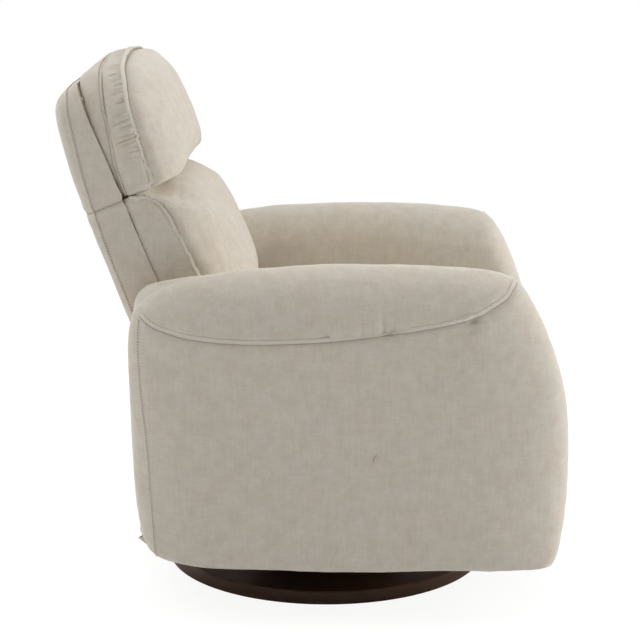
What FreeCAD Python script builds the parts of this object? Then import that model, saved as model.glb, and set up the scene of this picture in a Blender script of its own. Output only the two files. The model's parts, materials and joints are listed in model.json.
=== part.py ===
import FreeCAD, Part
import math
import os
import Sketcher

from FreeCAD import Placement, Rotation, Vector

# Swivel glider recliner, in millimetres. The origin is on the floor under the swivel,
# +Z is up, the chair faces -Y, and +X is the occupant's left.
# Formulas are spreadsheet expressions. Every driving size is a cell of the sheet.

DOC = FreeCAD.newDocument("swivel_glider_recliner")
SHEET = DOC.addObject("Spreadsheet::Sheet", "size")
NODES = []

SIZES = [
    # Round base and swivel
    ("disc_radius", 315, "round wooden base"),
    ("disc_height", 25, "base thickness"),
    ("disc_edge", 2, "eased top edge of the base"),
    ("foot_radius", 18, "floor pad"),
    ("foot_height", 4, "floor pad, flush with the base"),
    ("foot_circle", 265, "circle of floor pads"),
    ("race_radius", 150, "lower swivel race"),
    ("race_sheet", 3, "swivel race steel"),
    ("bearing_height", 4, "nylon bearing ring"),
    ("bearing_inner", 100, "bearing ring inner radius"),
    ("bearing_outer", 138, "bearing ring outer radius"),
    ("upper_radius", 143, "upper swivel race"),
    ("bolt_radius", 8, "pivot bolt shank"),
    ("bolt_head", 16, "pivot bolt head radius"),
    ("bolt_head_height", 9, "pivot bolt head"),
    ("nut_height", 9, "pivot nut"),
    ("screw_circle", 75, "circle of race screws"),
    ("screw_radius", 4, "race screw"),
    ("screw_length", 15, "race screw below the race"),
    ("fit", 0.1, "running fit, radial"),
    ("gap", 0.4, "gap beside sliding parts"),
    # Glide
    ("stand_plane", 154, "outer face of a glide stand"),
    ("stand_half", 150, "half length of a glide stand"),
    ("stand_sill", 38, "height of the stand's sill"),
    ("stand_rail_width", 32, "stand cross rail"),
    ("stand_rail_height", 24, "stand cross rail"),
    ("stand_rail_y", 85, "stand cross rail from the centre"),
    ("steel", 4, "plate steel"),
    ("hanger_y", 110, "link pivots from the centre"),
    ("hanger_z", 262, "upper link pivot height"),
    ("hanger_half", 20, "half width of a hanger tower"),
    ("swing_length", 140, "swing link between pivots"),
    ("swing_thick", 6, "swing link"),
    ("swing_half", 15, "half width of a swing link"),
    ("swing_gap", 2, "gap beside a swing link"),
    ("glide_rail_height", 40, "glide rail web"),
    ("glide_rail_flange", 36, "glide rail flange"),
    # Tub frame
    ("inner_half", 268, "inner face of an arm from the centre"),
    ("cushion_gap", 6, "gap between an arm and the seat or back"),
    ("board", 18, "arm board"),
    ("board_front", 372, "arm board's front"),
    ("board_top", 500, "arm board's top"),
    ("cross_thick", 28, "wooden cross rail"),
    ("cross_height", 70, "wooden cross rail"),
    ("cross_front", 290, "front cross rail's front face"),
    ("cross_rear", 290, "rear cross rail's rear face"),
    ("tub_inner", 342, "inner face of the rear panel"),
    ("rear_board", 12, "rear board"),
    # Upholstered tub
    ("arm_bottom", 104, "bottom edge of the tub"),
    ("arm_top", 651, "ridge of an arm"),
    ("arm_outer", 430, "outer face of an arm from the centre"),
    ("arm_front", 441, "front of an arm"),
    ("arm_rear", 326, "rear of an arm's ridge"),
    ("arm_rear_low", 270, "rear of an arm's bottom edge below the ridge"),
    ("arm_flat_front", 290, "front end of the outer face's flat"),
    ("arm_flat_rear", 110, "rear end of the outer face's flat"),
    ("tub_rear", 388, "rear panel's rearmost point"),
    ("tub_side", 352, "rear panel's rear face beside the arms"),
    ("tub_top", 420, "rear panel's top"),
    # Seat
    ("side_gap", 28, "mechanism side plate's outer face inside an arm"),
    ("side_top", 383, "side plate's top edge"),
    ("side_waist", 296, "side plate's lower edge"),
    ("slot_foot", 22, "side plate below the slot"),
    ("slot_half", 18, "side plate beside the slot"),
    ("track_top", 322, "seat track's top"),
    ("track_height", 32, "seat track"),
    ("track_sheet", 3, "seat track steel"),
    ("track_depth", 16, "seat track's reach from the arm"),
    ("track_front", 300, "seat track's front end"),
    ("track_rear", 240, "seat track's rear end"),
    ("runner_front", 160, "runner's front end"),
    ("runner_rear", 140, "runner's rear end"),
    ("rail_thick", 22, "seat rail"),
    ("rail_height", 42, "seat rail"),
    ("rail_front", 298, "front seat rail's front face"),
    ("rail_rear", 148, "rear seat rail's rear face"),
    ("tube_radius", 12, "torque tube"),
    ("tube_wall", 2, "torque tube wall"),
    ("tube_y", 238, "torque tube ahead of the centre"),
    ("tube_z", 330, "torque tube height"),
    ("strap_width", 50, "webbing strap"),
    ("strap_thick", 3, "webbing strap"),
    ("seat_front", 430, "seat cushion's front"),
    ("seat_rear", 158, "seat cushion's rear"),
    ("seat_top", 502, "seat cushion's crown"),
    # Footrest
    ("bar_length", 200, "scissor bar between end pivots"),
    ("bar_half", 11, "half width of a scissor bar"),
    ("bar_thick", 4, "scissor bar"),
    ("bar_gap", 2, "gap between scissor bars"),
    ("rivet", 5, "scissor pivot radius"),
    ("loop_fit", 0.3, "radial play where a loop of bars closes"),
    ("fold_angle", 80, "bar below the horizontal, folded"),
    ("open_angle", 12, "bar below the horizontal, opened"),
    ("foot_pivot_y", 322, "scissor's fixed pivot ahead of the centre"),
    ("foot_pivot_z", 362, "scissor's fixed pivot height"),
    ("steer_pivot", 175, "tilt link's pivot along its bar"),
    ("steer_back", 2, "tilt link's board pivot behind the main one"),
    ("steer_down", 70, "tilt link's board pivot below the main one"),
    ("foot_board", 12, "footrest board"),
    ("foot_board_side", 28, "footrest board's end inside an arm"),
    ("foot_board_low", 241, "board below its pivot"),
    ("foot_board_high", 13, "board above its pivot"),
    ("foot_board_gap", 14, "board's rear face ahead of its pivot"),
    ("foot_pad", 24, "footrest pad"),
    ("foot_pad_side", 12, "footrest pad's end inside an arm"),
    ("foot_pad_low", 12, "footrest pad below its board"),
    ("foot_pad_high", 4, "footrest pad above its board"),
    # Back, in its own leaning frame: Z runs up the back, Y square to it
    ("hinge_y", 200, "recline hinge behind the centre"),
    ("hinge_z", 400, "recline hinge height"),
    ("hinge_pin", 7, "recline hinge pin radius"),
    ("hinge_ear", 18, "ear round the recline hinge"),
    ("lean", 22, "back's lean from upright"),
    ("shell_face", 5, "shell's front face"),
    ("shell_rear", 108, "shell's rear face"),
    ("shell_rear_top", 72, "shell's rear face near its top"),
    ("shell_low", 30, "shell's bottom"),
    ("shell_top", 606, "shell's top"),
    ("shell_lip", 12, "round at the shell's front top"),
    ("shell_brow", 30, "round at the shell's rear top"),
    ("shell_belly", 70, "height of the shell's fullest point above its middle"),
    ("shell_hem", 60, "shell's rear below its curve"),
    ("post_width", 36, "back post"),
    ("post_depth", 40, "back post"),
    ("post_top", 575, "back post's top"),
    ("back_rail", 45, "back cross rail"),
    ("lumbar_front", 135, "lumbar cushion's front"),
    ("lumbar_low", 102, "lumbar cushion's bottom"),
    ("split", 386, "split between lumbar cushion and head pillow"),
    ("pillow_front", 134, "head pillow's front"),
    ("cushion_round", 60, "round along the edges of the back's cushions"),
    ("cushion_seam", 3, "flat left beside the rear seam of a back cushion"),
    ("pillow_top", 630, "head pillow's top at its rear"),
    ("pillow_fall", 10, "head pillow's top from its rear down to its front round"),
    # Release
    ("lever_y", 330, "release lever's pivot ahead of the centre"),
    ("lever_z", 534, "release lever's pivot height"),
    ("lever_length", 62, "release lever"),
    ("lever_half", 9, "half width of the release lever"),
    ("lever_thick", 7, "release lever"),
    ("bezel", 4, "release bezel"),
    ("bezel_margin", 12, "bezel round the lever"),
]


SIDE_OUT = "(size.inner_half - size.side_gap)"
SIDE_IN = "(size.inner_half - size.side_gap - size.steel)"
CUSHION_HALF = "(size.inner_half - size.cushion_gap)"


def fill_sheet():
    for row, (alias, number, meaning) in enumerate(SIZES, start=1):
        SHEET.set("A%d" % row, alias)
        SHEET.set("B%d" % row, str(number))
        SHEET.set("C%d" % row, meaning)
        SHEET.setAlias("B%d" % row, alias)
    DOC.recompute()


def value(formula):
    result = SHEET.evalExpression(str(formula))
    return float(getattr(result, "Value", result))


def bind(item, target, formula):
    item.setExpression(target, str(formula))


def place(item, x=0, y=0, z=0, turn=None):
    """Put an item at formulas, turned about X by a formula in degrees."""
    angle = value(turn) if turn is not None else 0
    item.Placement = Placement(Vector(value(x), value(y), value(z)), Rotation(Vector(1, 0, 0), angle))
    bind(item, "Placement.Base.x", x)
    bind(item, "Placement.Base.y", y)
    bind(item, "Placement.Base.z", z)
    if turn is not None:
        bind(item, "Placement.Rotation.Angle", turn)


def lean_back(item):
    """Put an item of the back in the back's leaning frame, whose origin is the hinge."""
    place(item, 0, "size.hinge_y", "size.hinge_z", "0 - size.lean")


def node(item, name):
    item.Label = name
    NODES.append(item)
    return item


# Sketches and solids

def origin_plane(body, role):
    return [item for item in body.Origin.OriginFeatures if item.Role == role][0]


def sketch_on(body, role):
    sketch = body.newObject("Sketcher::SketchObject", body.Name + "_sketch")
    sketch.AttachmentSupport = [(origin_plane(body, role), "")]
    sketch.MapMode = "FlatFace"
    return sketch


def fix_point(sketch, piece, end, x, y):
    """Hold one point of a sketch at a pair of formulas."""
    for kind, formula in (("DistanceX", x), ("DistanceY", y)):
        rule = sketch.addConstraint(Sketcher.Constraint(kind, -1, 1, piece, end, value(formula)))
        bind(sketch, "Constraints[%d]" % rule, formula)


def draw_outline(sketch, corners):
    """Closed outline of straight sides between corners given as pairs of formulas."""
    first = sketch.GeometryCount
    points = [Vector(value(x), value(y), 0) for x, y in corners]
    count = len(points)
    for index in range(count):
        sketch.addGeometry(Part.LineSegment(points[index], points[(index + 1) % count]), False)
    for index in range(count):
        following = first + (index + 1) % count
        sketch.addConstraint(Sketcher.Constraint("Coincident", first + index, 2, following, 1))
    for index, (x, y) in enumerate(corners):
        fix_point(sketch, first + index, 1, x, y)


def draw_circle(sketch, x, y, radius):
    centre = Vector(value(x), value(y), 0)
    circle = sketch.addGeometry(Part.Circle(centre, Vector(0, 0, 1), value(radius)), False)
    fix_point(sketch, circle, 3, x, y)
    rule = sketch.addConstraint(Sketcher.Constraint("Radius", circle, value(radius)))
    bind(sketch, "Constraints[%d]" % rule, radius)


def draw_slot(sketch, x0, y0, x1, y1, radius):
    """Round-ended slot or bar between two centres, both given as formulas."""
    start = Vector(value(x0), value(y0), 0)
    end = Vector(value(x1), value(y1), 0)
    along = math.atan2(end.y - start.y, end.x - start.x)
    reach = value(radius)
    side = Vector(-math.sin(along), math.cos(along), 0) * reach
    quarter = math.pi / 2
    up = Vector(0, 0, 1)
    near = sketch.addGeometry(
        Part.ArcOfCircle(Part.Circle(start, up, reach), along + quarter, along + 3 * quarter), False)
    far = sketch.addGeometry(
        Part.ArcOfCircle(Part.Circle(end, up, reach), along - quarter, along + quarter), False)
    upper = sketch.addGeometry(Part.LineSegment(end + side, start + side), False)
    lower = sketch.addGeometry(Part.LineSegment(start - side, end - side), False)
    round_trip = (far, upper, near, lower, far)
    for one, other in zip(round_trip, round_trip[1:]):
        sketch.addConstraint(Sketcher.Constraint("Tangent", one, 2, other, 1))
    fix_point(sketch, near, 3, x0, y0)
    fix_point(sketch, far, 3, x1, y1)
    rule = sketch.addConstraint(Sketcher.Constraint("Radius", near, reach))
    bind(sketch, "Constraints[%d]" % rule, radius)


def pad(body, sketch, length, reverse=False, both_ways=False):
    feature = body.newObject("PartDesign::Pad", body.Name + "_pad")
    feature.Profile = sketch
    feature.Length = value(length)
    bind(feature, "Length", length)
    feature.Reversed = reverse
    feature.Midplane = both_ways
    return feature


def pocket(body, sketch, length, both_ways=True):
    """Cut a sketch's outline out of a body, and make sure that something was cut."""
    DOC.recompute()
    before = body.Shape.Volume
    feature = body.newObject("PartDesign::Pocket", body.Name + "_pocket")
    feature.Profile = sketch
    feature.Length = value(length)
    bind(feature, "Length", length)
    feature.Midplane = both_ways
    DOC.recompute()
    if body.Shape.Volume >= before:
        raise RuntimeError("nothing cut from " + body.Name)
    return feature


def round_edges(body, radius, along):
    """Fillet every straight edge of a body that runs along a direction."""
    DOC.recompute()
    base = body.Tip
    names = []
    for index, edge in enumerate(base.Shape.Edges, start=1):
        if not isinstance(edge.Curve, Part.Line):
            continue
        if abs(abs(edge.Curve.Direction.dot(along)) - 1) < 1e-6:
            names.append("Edge%d" % index)
    feature = body.newObject("PartDesign::Fillet", body.Name + "_fillet")
    feature.Base = (base, names)
    bind(feature, "Radius", radius)
    return feature


def new_body(name):
    return DOC.addObject("PartDesign::Body", name)


def plate(name, corners, thickness, x, holes=(), slots=(), rounding=None):
    """Plate across the X axis: an outline in Y and Z, with round holes and slots."""
    body = new_body(name)
    sketch = sketch_on(body, "YZ_Plane")
    draw_outline(sketch, corners)
    pad(body, sketch, thickness)
    if rounding:
        round_edges(body, rounding, Vector(1, 0, 0))
    if holes or slots:
        cuts = sketch_on(body, "YZ_Plane")
        for y, z, radius in holes:
            draw_circle(cuts, y, z, radius)
        for slot in slots:
            draw_slot(cuts, *slot)
        pocket(body, cuts, "3 * (%s)" % thickness)
    place(body, x)
    return body


def block(name, x, y, z, length, width, height):
    item = DOC.addObject("Part::Box", name)
    bind(item, "Length", length)
    bind(item, "Width", width)
    bind(item, "Height", height)
    place(item, x, y, z)
    return item


def rod(name, x, y, z, radius, length):
    """Round rod from a point along +X."""
    item = DOC.addObject("Part::Cylinder", name)
    bind(item, "Radius", radius)
    bind(item, "Height", length)
    item.Placement = Placement(Vector(0, 0, 0), Rotation(Vector(0, 1, 0), 90))
    bind(item, "Placement.Base.x", x)
    bind(item, "Placement.Base.y", y)
    bind(item, "Placement.Base.z", z)
    return item


def post(name, x, y, z, radius, height):
    """Upright round post from a point along +Z."""
    item = DOC.addObject("Part::Cylinder", name)
    bind(item, "Radius", radius)
    bind(item, "Height", height)
    place(item, x, y, z)
    return item


def cut(name, base, tool):
    item = DOC.addObject("Part::Cut", name)
    item.Base = base
    item.Tool = tool
    return item


def group(name, items):
    item = DOC.addObject("Part::Compound", name)
    item.Links = items
    return item


def mirrored(name, source):
    """Copy of a left-hand piece on the occupant's right."""
    item = DOC.addObject("Part::Mirroring", name)
    item.Source = source
    item.Normal = Vector(1, 0, 0)
    return item


def pair(name, left):
    """Left and right copies of one piece in a single node."""
    return node(group(name, [left, mirrored(name + "_right_copy", left)]), name)


def left_and_right(name, left):
    """Left and right copies of one piece in two nodes."""
    node(left, name + "_left")
    node(mirrored(name + "_right", left), name + "_right")


# Soft forms

def arc(start, middle, end):
    return Part.Arc(start, middle, end).toShape()


def soft_section(x, front, rear, bottom, top, corner, swell, crisp=False):
    """Rounded four-sided section at one X: sides swell outward, corners are arcs.

    The two rear corners are plain bevels where crisp is set.

    corner holds the radii and swell the swells, both in the order bottom, front, top, rear.
    The corner of each side is the one that ends it, going round from the bottom.
    """
    r_front, r_top, r_back, r_low = corner
    s_bottom, s_front, s_top, s_rear = swell
    mid_y = (front + rear) / 2
    mid_z = (bottom + top) / 2
    soft = 1 - math.sqrt(0.5)

    def at(y, z):
        return Vector(x, y, z)

    def side(start, middle, end, swell_here):
        return arc(start, middle, end) if swell_here else Part.LineSegment(start, end).toShape()

    edges = [
        side(at(rear - r_low, bottom), at(mid_y, bottom - s_bottom), at(front + r_front, bottom), s_bottom),
        arc(at(front + r_front, bottom), at(front + soft * r_front, bottom + soft * r_front),
            at(front, bottom + r_front)),
        side(at(front, bottom + r_front), at(front - s_front, mid_z), at(front, top - r_top), s_front),
        arc(at(front, top - r_top), at(front + soft * r_top, top - soft * r_top), at(front + r_top, top)),
        side(at(front + r_top, top), at(mid_y, top + s_top), at(rear - r_back, top), s_top),
        side(at(rear - r_back, top), at(rear - soft * r_back, top - soft * r_back), at(rear, top - r_back),
             not crisp),
        side(at(rear, top - r_back), at(rear + s_rear, mid_z), at(rear, bottom + r_low), s_rear),
        side(at(rear, bottom + r_low), at(rear - soft * r_low, bottom + soft * r_low),
             at(rear - r_low, bottom), not crisp),
    ]
    return Part.Wire(edges)


def straight(x, y0, z0, y1, z1):
    return Part.LineSegment(Vector(x, y0, z0), Vector(x, y1, z1)).toShape()


def quarter(x, y0, z0, y1, z1):
    """Quarter round of a section at one X, from one end to the other, bulging to the front."""
    front = min(y0, y1)
    end_z = z0 if y0 > y1 else z1
    centre_z = z1 if y0 > y1 else z0
    radius = abs(y1 - y0)
    middle = Vector(x, front + radius * (1 - math.sqrt(0.5)), centre_z + (end_z - centre_z) * math.sqrt(0.5))
    return arc(Vector(x, y0, z0), middle, Vector(x, y1, z1))


def loft(sections):
    """Ruled loft: solid, with straight lines between neighbouring sections."""
    return Part.makeLoft(sections, True, True)


def soft_feature(name, shape):
    item = DOC.addObject("Part::Feature", name)
    item.Shape = shape
    return item


# Base

def disc_on(body, radius, height):
    sketch = sketch_on(body, "XY_Plane")
    draw_circle(sketch, 0, 0, radius)
    return pad(body, sketch, height)


FLOOR_PADS = 5
RACE_SCREWS = 4
RACE_TOP = "(size.disc_height + size.race_sheet)"
UPPER_LOW = "(%s + size.bearing_height)" % RACE_TOP
UPPER_TOP = "(%s + size.race_sheet)" % UPPER_LOW


def ring_points(circle, count, first=0):
    """Formulas of evenly spaced points on a circle about the swivel."""
    step = 360 / count
    return [("%s * cos(%g)" % (circle, first + step * turn), "%s * sin(%g)" % (circle, first + step * turn))
            for turn in range(count)]


def recess(body, points, radius, depth, from_top):
    """Round recesses in the base, from its underside or its top."""
    sketch = sketch_on(body, "XY_Plane")
    for x, y in points:
        draw_circle(sketch, x, y, radius)
    if from_top:
        offset = "size.disc_height"
        bind(sketch, "AttachmentOffset.Base.z", offset)
    DOC.recompute()
    before = body.Shape.Volume
    feature = body.newObject("PartDesign::Pocket", body.Name + "_pocket")
    feature.Profile = sketch
    feature.Length = value(depth)
    bind(feature, "Length", depth)
    feature.Reversed = not from_top
    DOC.recompute()
    if body.Shape.Volume >= before:
        raise RuntimeError("nothing cut from " + body.Name)


def make_base():
    body = new_body("base_disc_body")
    disc_on(body, "size.disc_radius", "size.disc_height")
    DOC.recompute()
    slab = body.Tip
    rims = []
    for index, edge in enumerate(slab.Shape.Edges, start=1):
        if isinstance(edge.Curve, Part.Circle) and edge.Curve.Center.z > value("size.disc_height / 2"):
            rims.append("Edge%d" % index)
    easing = body.newObject("PartDesign::Chamfer", "base_disc_rim")
    easing.Base = (slab, rims)
    bind(easing, "Size", "size.disc_edge")
    foot_places = ring_points("size.foot_circle", FLOOR_PADS)
    screw_places = ring_points("size.screw_circle", RACE_SCREWS, 45)
    recess(body, foot_places, "size.foot_radius", "size.foot_height", False)
    recess(body, screw_places, "size.screw_radius", "size.screw_length", True)
    recess(body, [(0, 0)], "size.bolt_head", "size.bolt_head_height", True)
    node(body, "base_disc")

    feet = [post("floor_pad_%d" % index, x, y, 0, "size.foot_radius", "size.foot_height")
            for index, (x, y) in enumerate(foot_places)]
    node(group("floor_pads_group", feet), "floor_pads")

    race = new_body("lower_race")
    sketch = sketch_on(race, "XY_Plane")
    draw_circle(sketch, 0, 0, "size.race_radius")
    draw_circle(sketch, 0, 0, "size.bolt_radius")
    for x, y in screw_places:
        draw_circle(sketch, x, y, "size.screw_radius")
    pad(race, sketch, "size.race_sheet")
    place(race, 0, 0, "size.disc_height")
    node(race, "swivel_lower_race")

    screws = [post("race_screw_%d" % index, x, y, "size.disc_height - size.screw_length", "size.screw_radius",
                   "size.screw_length + size.race_sheet")
              for index, (x, y) in enumerate(screw_places)]
    node(group("race_screw_group", screws), "race_screws")

    bolt = new_body("pivot_bolt_body")
    sketch = sketch_on(bolt, "XZ_Plane")
    low = "size.disc_height - size.bolt_head_height"
    top = "%s + size.nut_height + 4 * size.gap" % UPPER_TOP
    draw_outline(sketch, [
        (0, low),
        ("size.bolt_head", low),
        ("size.bolt_head", "size.disc_height"),
        ("size.bolt_radius", "size.disc_height"),
        ("size.bolt_radius", top),
        (0, top),
    ])
    spin(bolt, sketch)
    node(bolt, "pivot_bolt")

    hexagon = DOC.addObject("Part::Prism", "pivot_nut_hexagon")
    hexagon.Polygon = 6
    bind(hexagon, "Circumradius", "1.8 * size.bolt_radius")
    bind(hexagon, "Height", "size.nut_height")
    place(hexagon, 0, 0, "%s + size.gap" % UPPER_TOP)
    bore = post("pivot_nut_bore", 0, 0, UPPER_TOP, "size.bolt_radius", "2 * size.nut_height")
    node(cut("pivot_nut_cut", hexagon, bore), "pivot_nut")


def spin(body, sketch):
    """Turn a sketch of the XZ plane full circle about the upright axis."""
    feature = body.newObject("PartDesign::Revolution", body.Name + "_spin")
    feature.Profile = sketch
    feature.ReferenceAxis = (sketch, ["V_Axis"])
    feature.Angle = 360
    DOC.recompute()
    return feature


# Swivel and glide

def ring(name, inner, outer, height, z):
    body = new_body(name + "_body")
    sketch = sketch_on(body, "XY_Plane")
    draw_circle(sketch, 0, 0, outer)
    draw_circle(sketch, 0, 0, inner)
    pad(body, sketch, height)
    place(body, 0, 0, z)
    return node(body, name)


def hanger_holes(radius):
    return [("size.hanger_y", "size.hanger_z", radius), ("0 - size.hanger_y", "size.hanger_z", radius)]


def make_swivel():
    ring("swivel_bearing", "size.bearing_inner", "size.bearing_outer", "size.bearing_height", RACE_TOP)
    ring("swivel_upper_race", "size.bolt_radius + size.fit", "size.upper_radius", "size.race_sheet",
         UPPER_LOW)

    for name, side in (("front", "0 - size.stand_rail_y"), ("rear", "size.stand_rail_y")):
        half = "size.stand_rail_width / 2"
        body = new_body("stand_rail_body_" + name)
        sketch = sketch_on(body, "YZ_Plane")
        draw_outline(sketch, [
            ("0 - %s" % half, 0),
            (half, 0),
            (half, "size.stand_rail_height"),
            ("%s - size.steel" % half, "size.stand_rail_height"),
            ("%s - size.steel" % half, "size.steel"),
            ("size.steel - %s" % half, "size.steel"),
            ("size.steel - %s" % half, "size.stand_rail_height"),
            ("0 - %s" % half, "size.stand_rail_height"),
        ])
        pad(body, sketch, "2 * (size.stand_plane - size.steel)", both_ways=True)
        place(body, 0, side, UPPER_TOP)
        node(body, "stand_rail_" + name)

    tower_top = "size.hanger_z + size.hanger_half"
    right = "size.hanger_y + size.hanger_half"
    left = "size.hanger_y - size.hanger_half"
    sill = "%s + size.stand_sill" % UPPER_TOP
    stand = plate("stand_left_body", [
        ("0 - size.stand_half", UPPER_TOP),
        ("size.stand_half", UPPER_TOP),
        ("size.stand_half", sill),
        (right, tower_top),
        (left, tower_top),
        ("0.6 * (%s)" % left, "%s + size.stand_sill" % sill),
        ("0 - 0.6 * (%s)" % left, "%s + size.stand_sill" % sill),
        ("0 - (%s)" % left, tower_top),
        ("0 - (%s)" % right, tower_top),
        ("0 - size.stand_half", sill),
    ], "size.steel", "size.stand_plane - size.steel", hanger_holes("size.bolt_radius"),
        rounding="size.hanger_half / 2.5")
    left_and_right("glide_stand", stand)

    pins = []
    for name, side in (("front", "0 - size.hanger_y"), ("rear", "size.hanger_y")):
        pins.append(rod("upper_pin_" + name, "size.stand_plane - size.steel", side, "size.hanger_z",
                        "size.bolt_radius", "size.steel + size.swing_gap + size.swing_thick + size.gap"))
    pair("upper_link_pins", group("upper_pins_left", pins))


LINK_IN = "(size.stand_plane + size.swing_gap)"
RAIL_IN = "(%s + size.swing_thick + size.swing_gap)" % LINK_IN
LOWER_Z = "(size.hanger_z - size.swing_length)"
CROSS_Z = "(size.arm_bottom + size.steel)"


def make_links():
    for name, side in (("front_swing_links", "0 - size.hanger_y"), ("rear_swing_links", "size.hanger_y")):
        body = new_body(name + "_left")
        sketch = sketch_on(body, "YZ_Plane")
        draw_slot(sketch, 0, 0, 0, "0 - size.swing_length", "size.swing_half")
        pad(body, sketch, "size.swing_thick")
        holes = sketch_on(body, "YZ_Plane")
        draw_circle(holes, 0, 0, "size.bolt_radius + size.fit")
        draw_circle(holes, 0, "0 - size.swing_length", "size.bolt_radius + size.fit")
        pocket(body, holes, "3 * size.swing_thick")
        place(body, LINK_IN, side, "size.hanger_z")
        pair(name, body)


# Tub frame

def make_tub_frame():
    rail = new_body("glide_rail_left_body")
    sketch = sketch_on(rail, "XZ_Plane")
    top = "size.glide_rail_height / 2"
    draw_outline(sketch, [
        (0, "0 - (%s)" % top),
        ("size.steel", "0 - (%s)" % top),
        ("size.steel", "%s - size.steel" % top),
        ("size.glide_rail_flange", "%s - size.steel" % top),
        ("size.glide_rail_flange", top),
        (0, top),
    ])
    length = "2 * (size.cross_front - size.cross_thick)"
    pad(rail, sketch, length, both_ways=True)
    holes = sketch_on(rail, "YZ_Plane")
    draw_circle(holes, "size.hanger_y", 0, "size.bolt_radius")
    draw_circle(holes, "0 - size.hanger_y", 0, "size.bolt_radius")
    pocket(rail, holes, "4 * size.steel")
    place(rail, RAIL_IN, 0, LOWER_Z)
    left_and_right("glide_rail", rail)

    pins = []
    for name, side in (("front", "0 - size.hanger_y"), ("rear", "size.hanger_y")):
        pins.append(rod("lower_pin_" + name, "%s - size.gap" % LINK_IN, side, LOWER_Z, "size.bolt_radius",
                        "size.gap + size.swing_thick + size.swing_gap + size.steel"))
    pair("lower_link_pins", group("lower_pins_left", pins))

    width = "2 * size.inner_half"
    node(block("front_rail", "0 - size.inner_half", "0 - size.cross_front", CROSS_Z, width,
               "size.cross_thick", "size.cross_height"), "cross_rail_front")
    node(block("rear_rail", "0 - size.inner_half", "size.cross_rear - size.cross_thick", CROSS_Z, width,
               "size.cross_thick", "size.cross_height"), "cross_rail_rear")
    node(block("back_board", "0 - size.inner_half", "size.tub_inner - size.rear_board", CROSS_Z, width,
               "size.rear_board", "size.tub_top - 2 * size.board - %s" % CROSS_Z), "rear_board")

    arm_board = plate("arm_board_left_body", arm_board_outline(), "size.board", "size.inner_half")
    left_and_right("arm_board", arm_board)

    track = new_body("seat_track_left_body")
    sketch = sketch_on(track, "XZ_Plane")
    draw_outline(sketch, [
        (0, 0),
        ("0 - size.track_depth", 0),
        ("0 - size.track_depth", "size.track_sheet"),
        ("0 - size.track_sheet", "size.track_sheet"),
        ("0 - size.track_sheet", "size.track_height - size.track_sheet"),
        ("0 - size.track_depth", "size.track_height - size.track_sheet"),
        ("0 - size.track_depth", "size.track_height"),
        (0, "size.track_height"),
    ])
    pad(track, sketch, "size.track_front + size.track_rear")
    place(track, "size.inner_half", "size.track_rear", "size.track_top - size.track_height")
    left_and_right("seat_track", track)


def arm_board_outline():
    """Plywood arm side: a notch clears the curved lower front corner."""
    rear = "size.tub_inner - size.rear_board / 2"
    front = "0 - size.board_front"
    return [
        (front, "size.arm_bottom + size.board"),
        (rear, "size.arm_bottom + size.board"),
        (rear, "size.board_top - size.board"),
        ("0.5 * (%s)" % rear, "size.board_top"),
        ("0.8 * (%s)" % front, "size.board_top"),
        (front, "size.board_top - 4 * size.board"),
    ]


# Upholstered tub

def arm_section(x, spread, drop, front, rear, rear_low):
    """Side outline of an arm at one X. spread shortens the corners, drop lowers the top."""
    low = value("size.arm_bottom")
    full = value("size.arm_top") - low
    top = value("size.arm_top") - drop
    rise = (top - low) / full
    y = spread

    def at(along, height):
        return Vector(x, along, height)

    foot = at(-front + 16 * y, low + 40 * rise)
    foot_end = at(-front + 46 * y, low)
    brow = at(-front + 60 * y, top - 80 * rise)
    brow_end = at(-front + 150 * y, top - 13 * rise)
    crest_end = at(rear - 74 * y, top - 28 * rise)
    heel = at(rear + 12 * y, top - 92 * rise)
    tail = at(rear_low + 12 * y, low + 60 * rise)
    tail_end = at(rear_low - 14 * y, low)
    middle = (brow_end.y + crest_end.y) / 2
    return Part.Wire([
        arc(foot_end, at(-front + 27 * y, low + 9 * rise), foot),
        arc(foot, at(-front, low + 0.4 * (top - low)), brow),
        arc(brow, at(-front + 98 * y, top - 32 * rise), brow_end),
        arc(brow_end, at(middle, top), crest_end),
        arc(crest_end, at(rear - 20 * y, top - 54 * rise), heel),
        arc(heel, at((rear + rear_low) / 2 + 30 * y, low + 0.52 * (top - low)), tail),
        arc(tail, at(rear_low + 3 * y, low + 17 * rise), tail_end),
        Part.LineSegment(tail_end, foot_end).toShape(),
    ])


ARM_STATIONS = (-1, -0.85, -0.45, 0, 0.45, 0.85, 1)
FRONT_BEND = 3.2
REAR_BEND = 1.6


def make_arm():
    half = (value("size.arm_outer") - value("size.inner_half")) / 2
    centre = value("size.inner_half") + half
    front_full = value("size.arm_front")
    rear_full = value("size.arm_rear")
    low_full = value("size.arm_rear_low")
    side_rear = value("size.tub_side")
    flat_front = value("size.arm_flat_front")
    flat_rear = value("size.arm_flat_rear")
    sections = []
    for station in ARM_STATIONS:
        drop = half * (1 - math.sqrt(max(0, 1 - station ** 2)))
        outward = max(0, station)
        inward = max(0, -station)
        front_share = math.sqrt(1 - outward ** FRONT_BEND)
        rear_share = (1 - outward ** REAR_BEND) ** 0.8
        front = flat_front + (front_full - flat_front) * front_share - 14 * inward ** 4
        rear = flat_rear + (rear_full - flat_rear) * rear_share + (side_rear - 12 - rear_full) * inward
        rear_low = (flat_rear - 40) + (low_full - flat_rear + 40) * rear_share
        rear_low = rear_low + (side_rear - 12 - low_full) * inward ** 0.7
        spread = (front + rear) / (front_full + rear_full)
        sections.append(arm_section(centre + half * station, spread, drop, front, rear, rear_low))
    soft = soft_feature("arm_left_soft", loft(sections))
    board = plate("arm_left_recess", arm_board_outline(), "size.board", "size.inner_half")
    left_and_right("arm", cut("arm_left_cut", soft, board))


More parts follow.
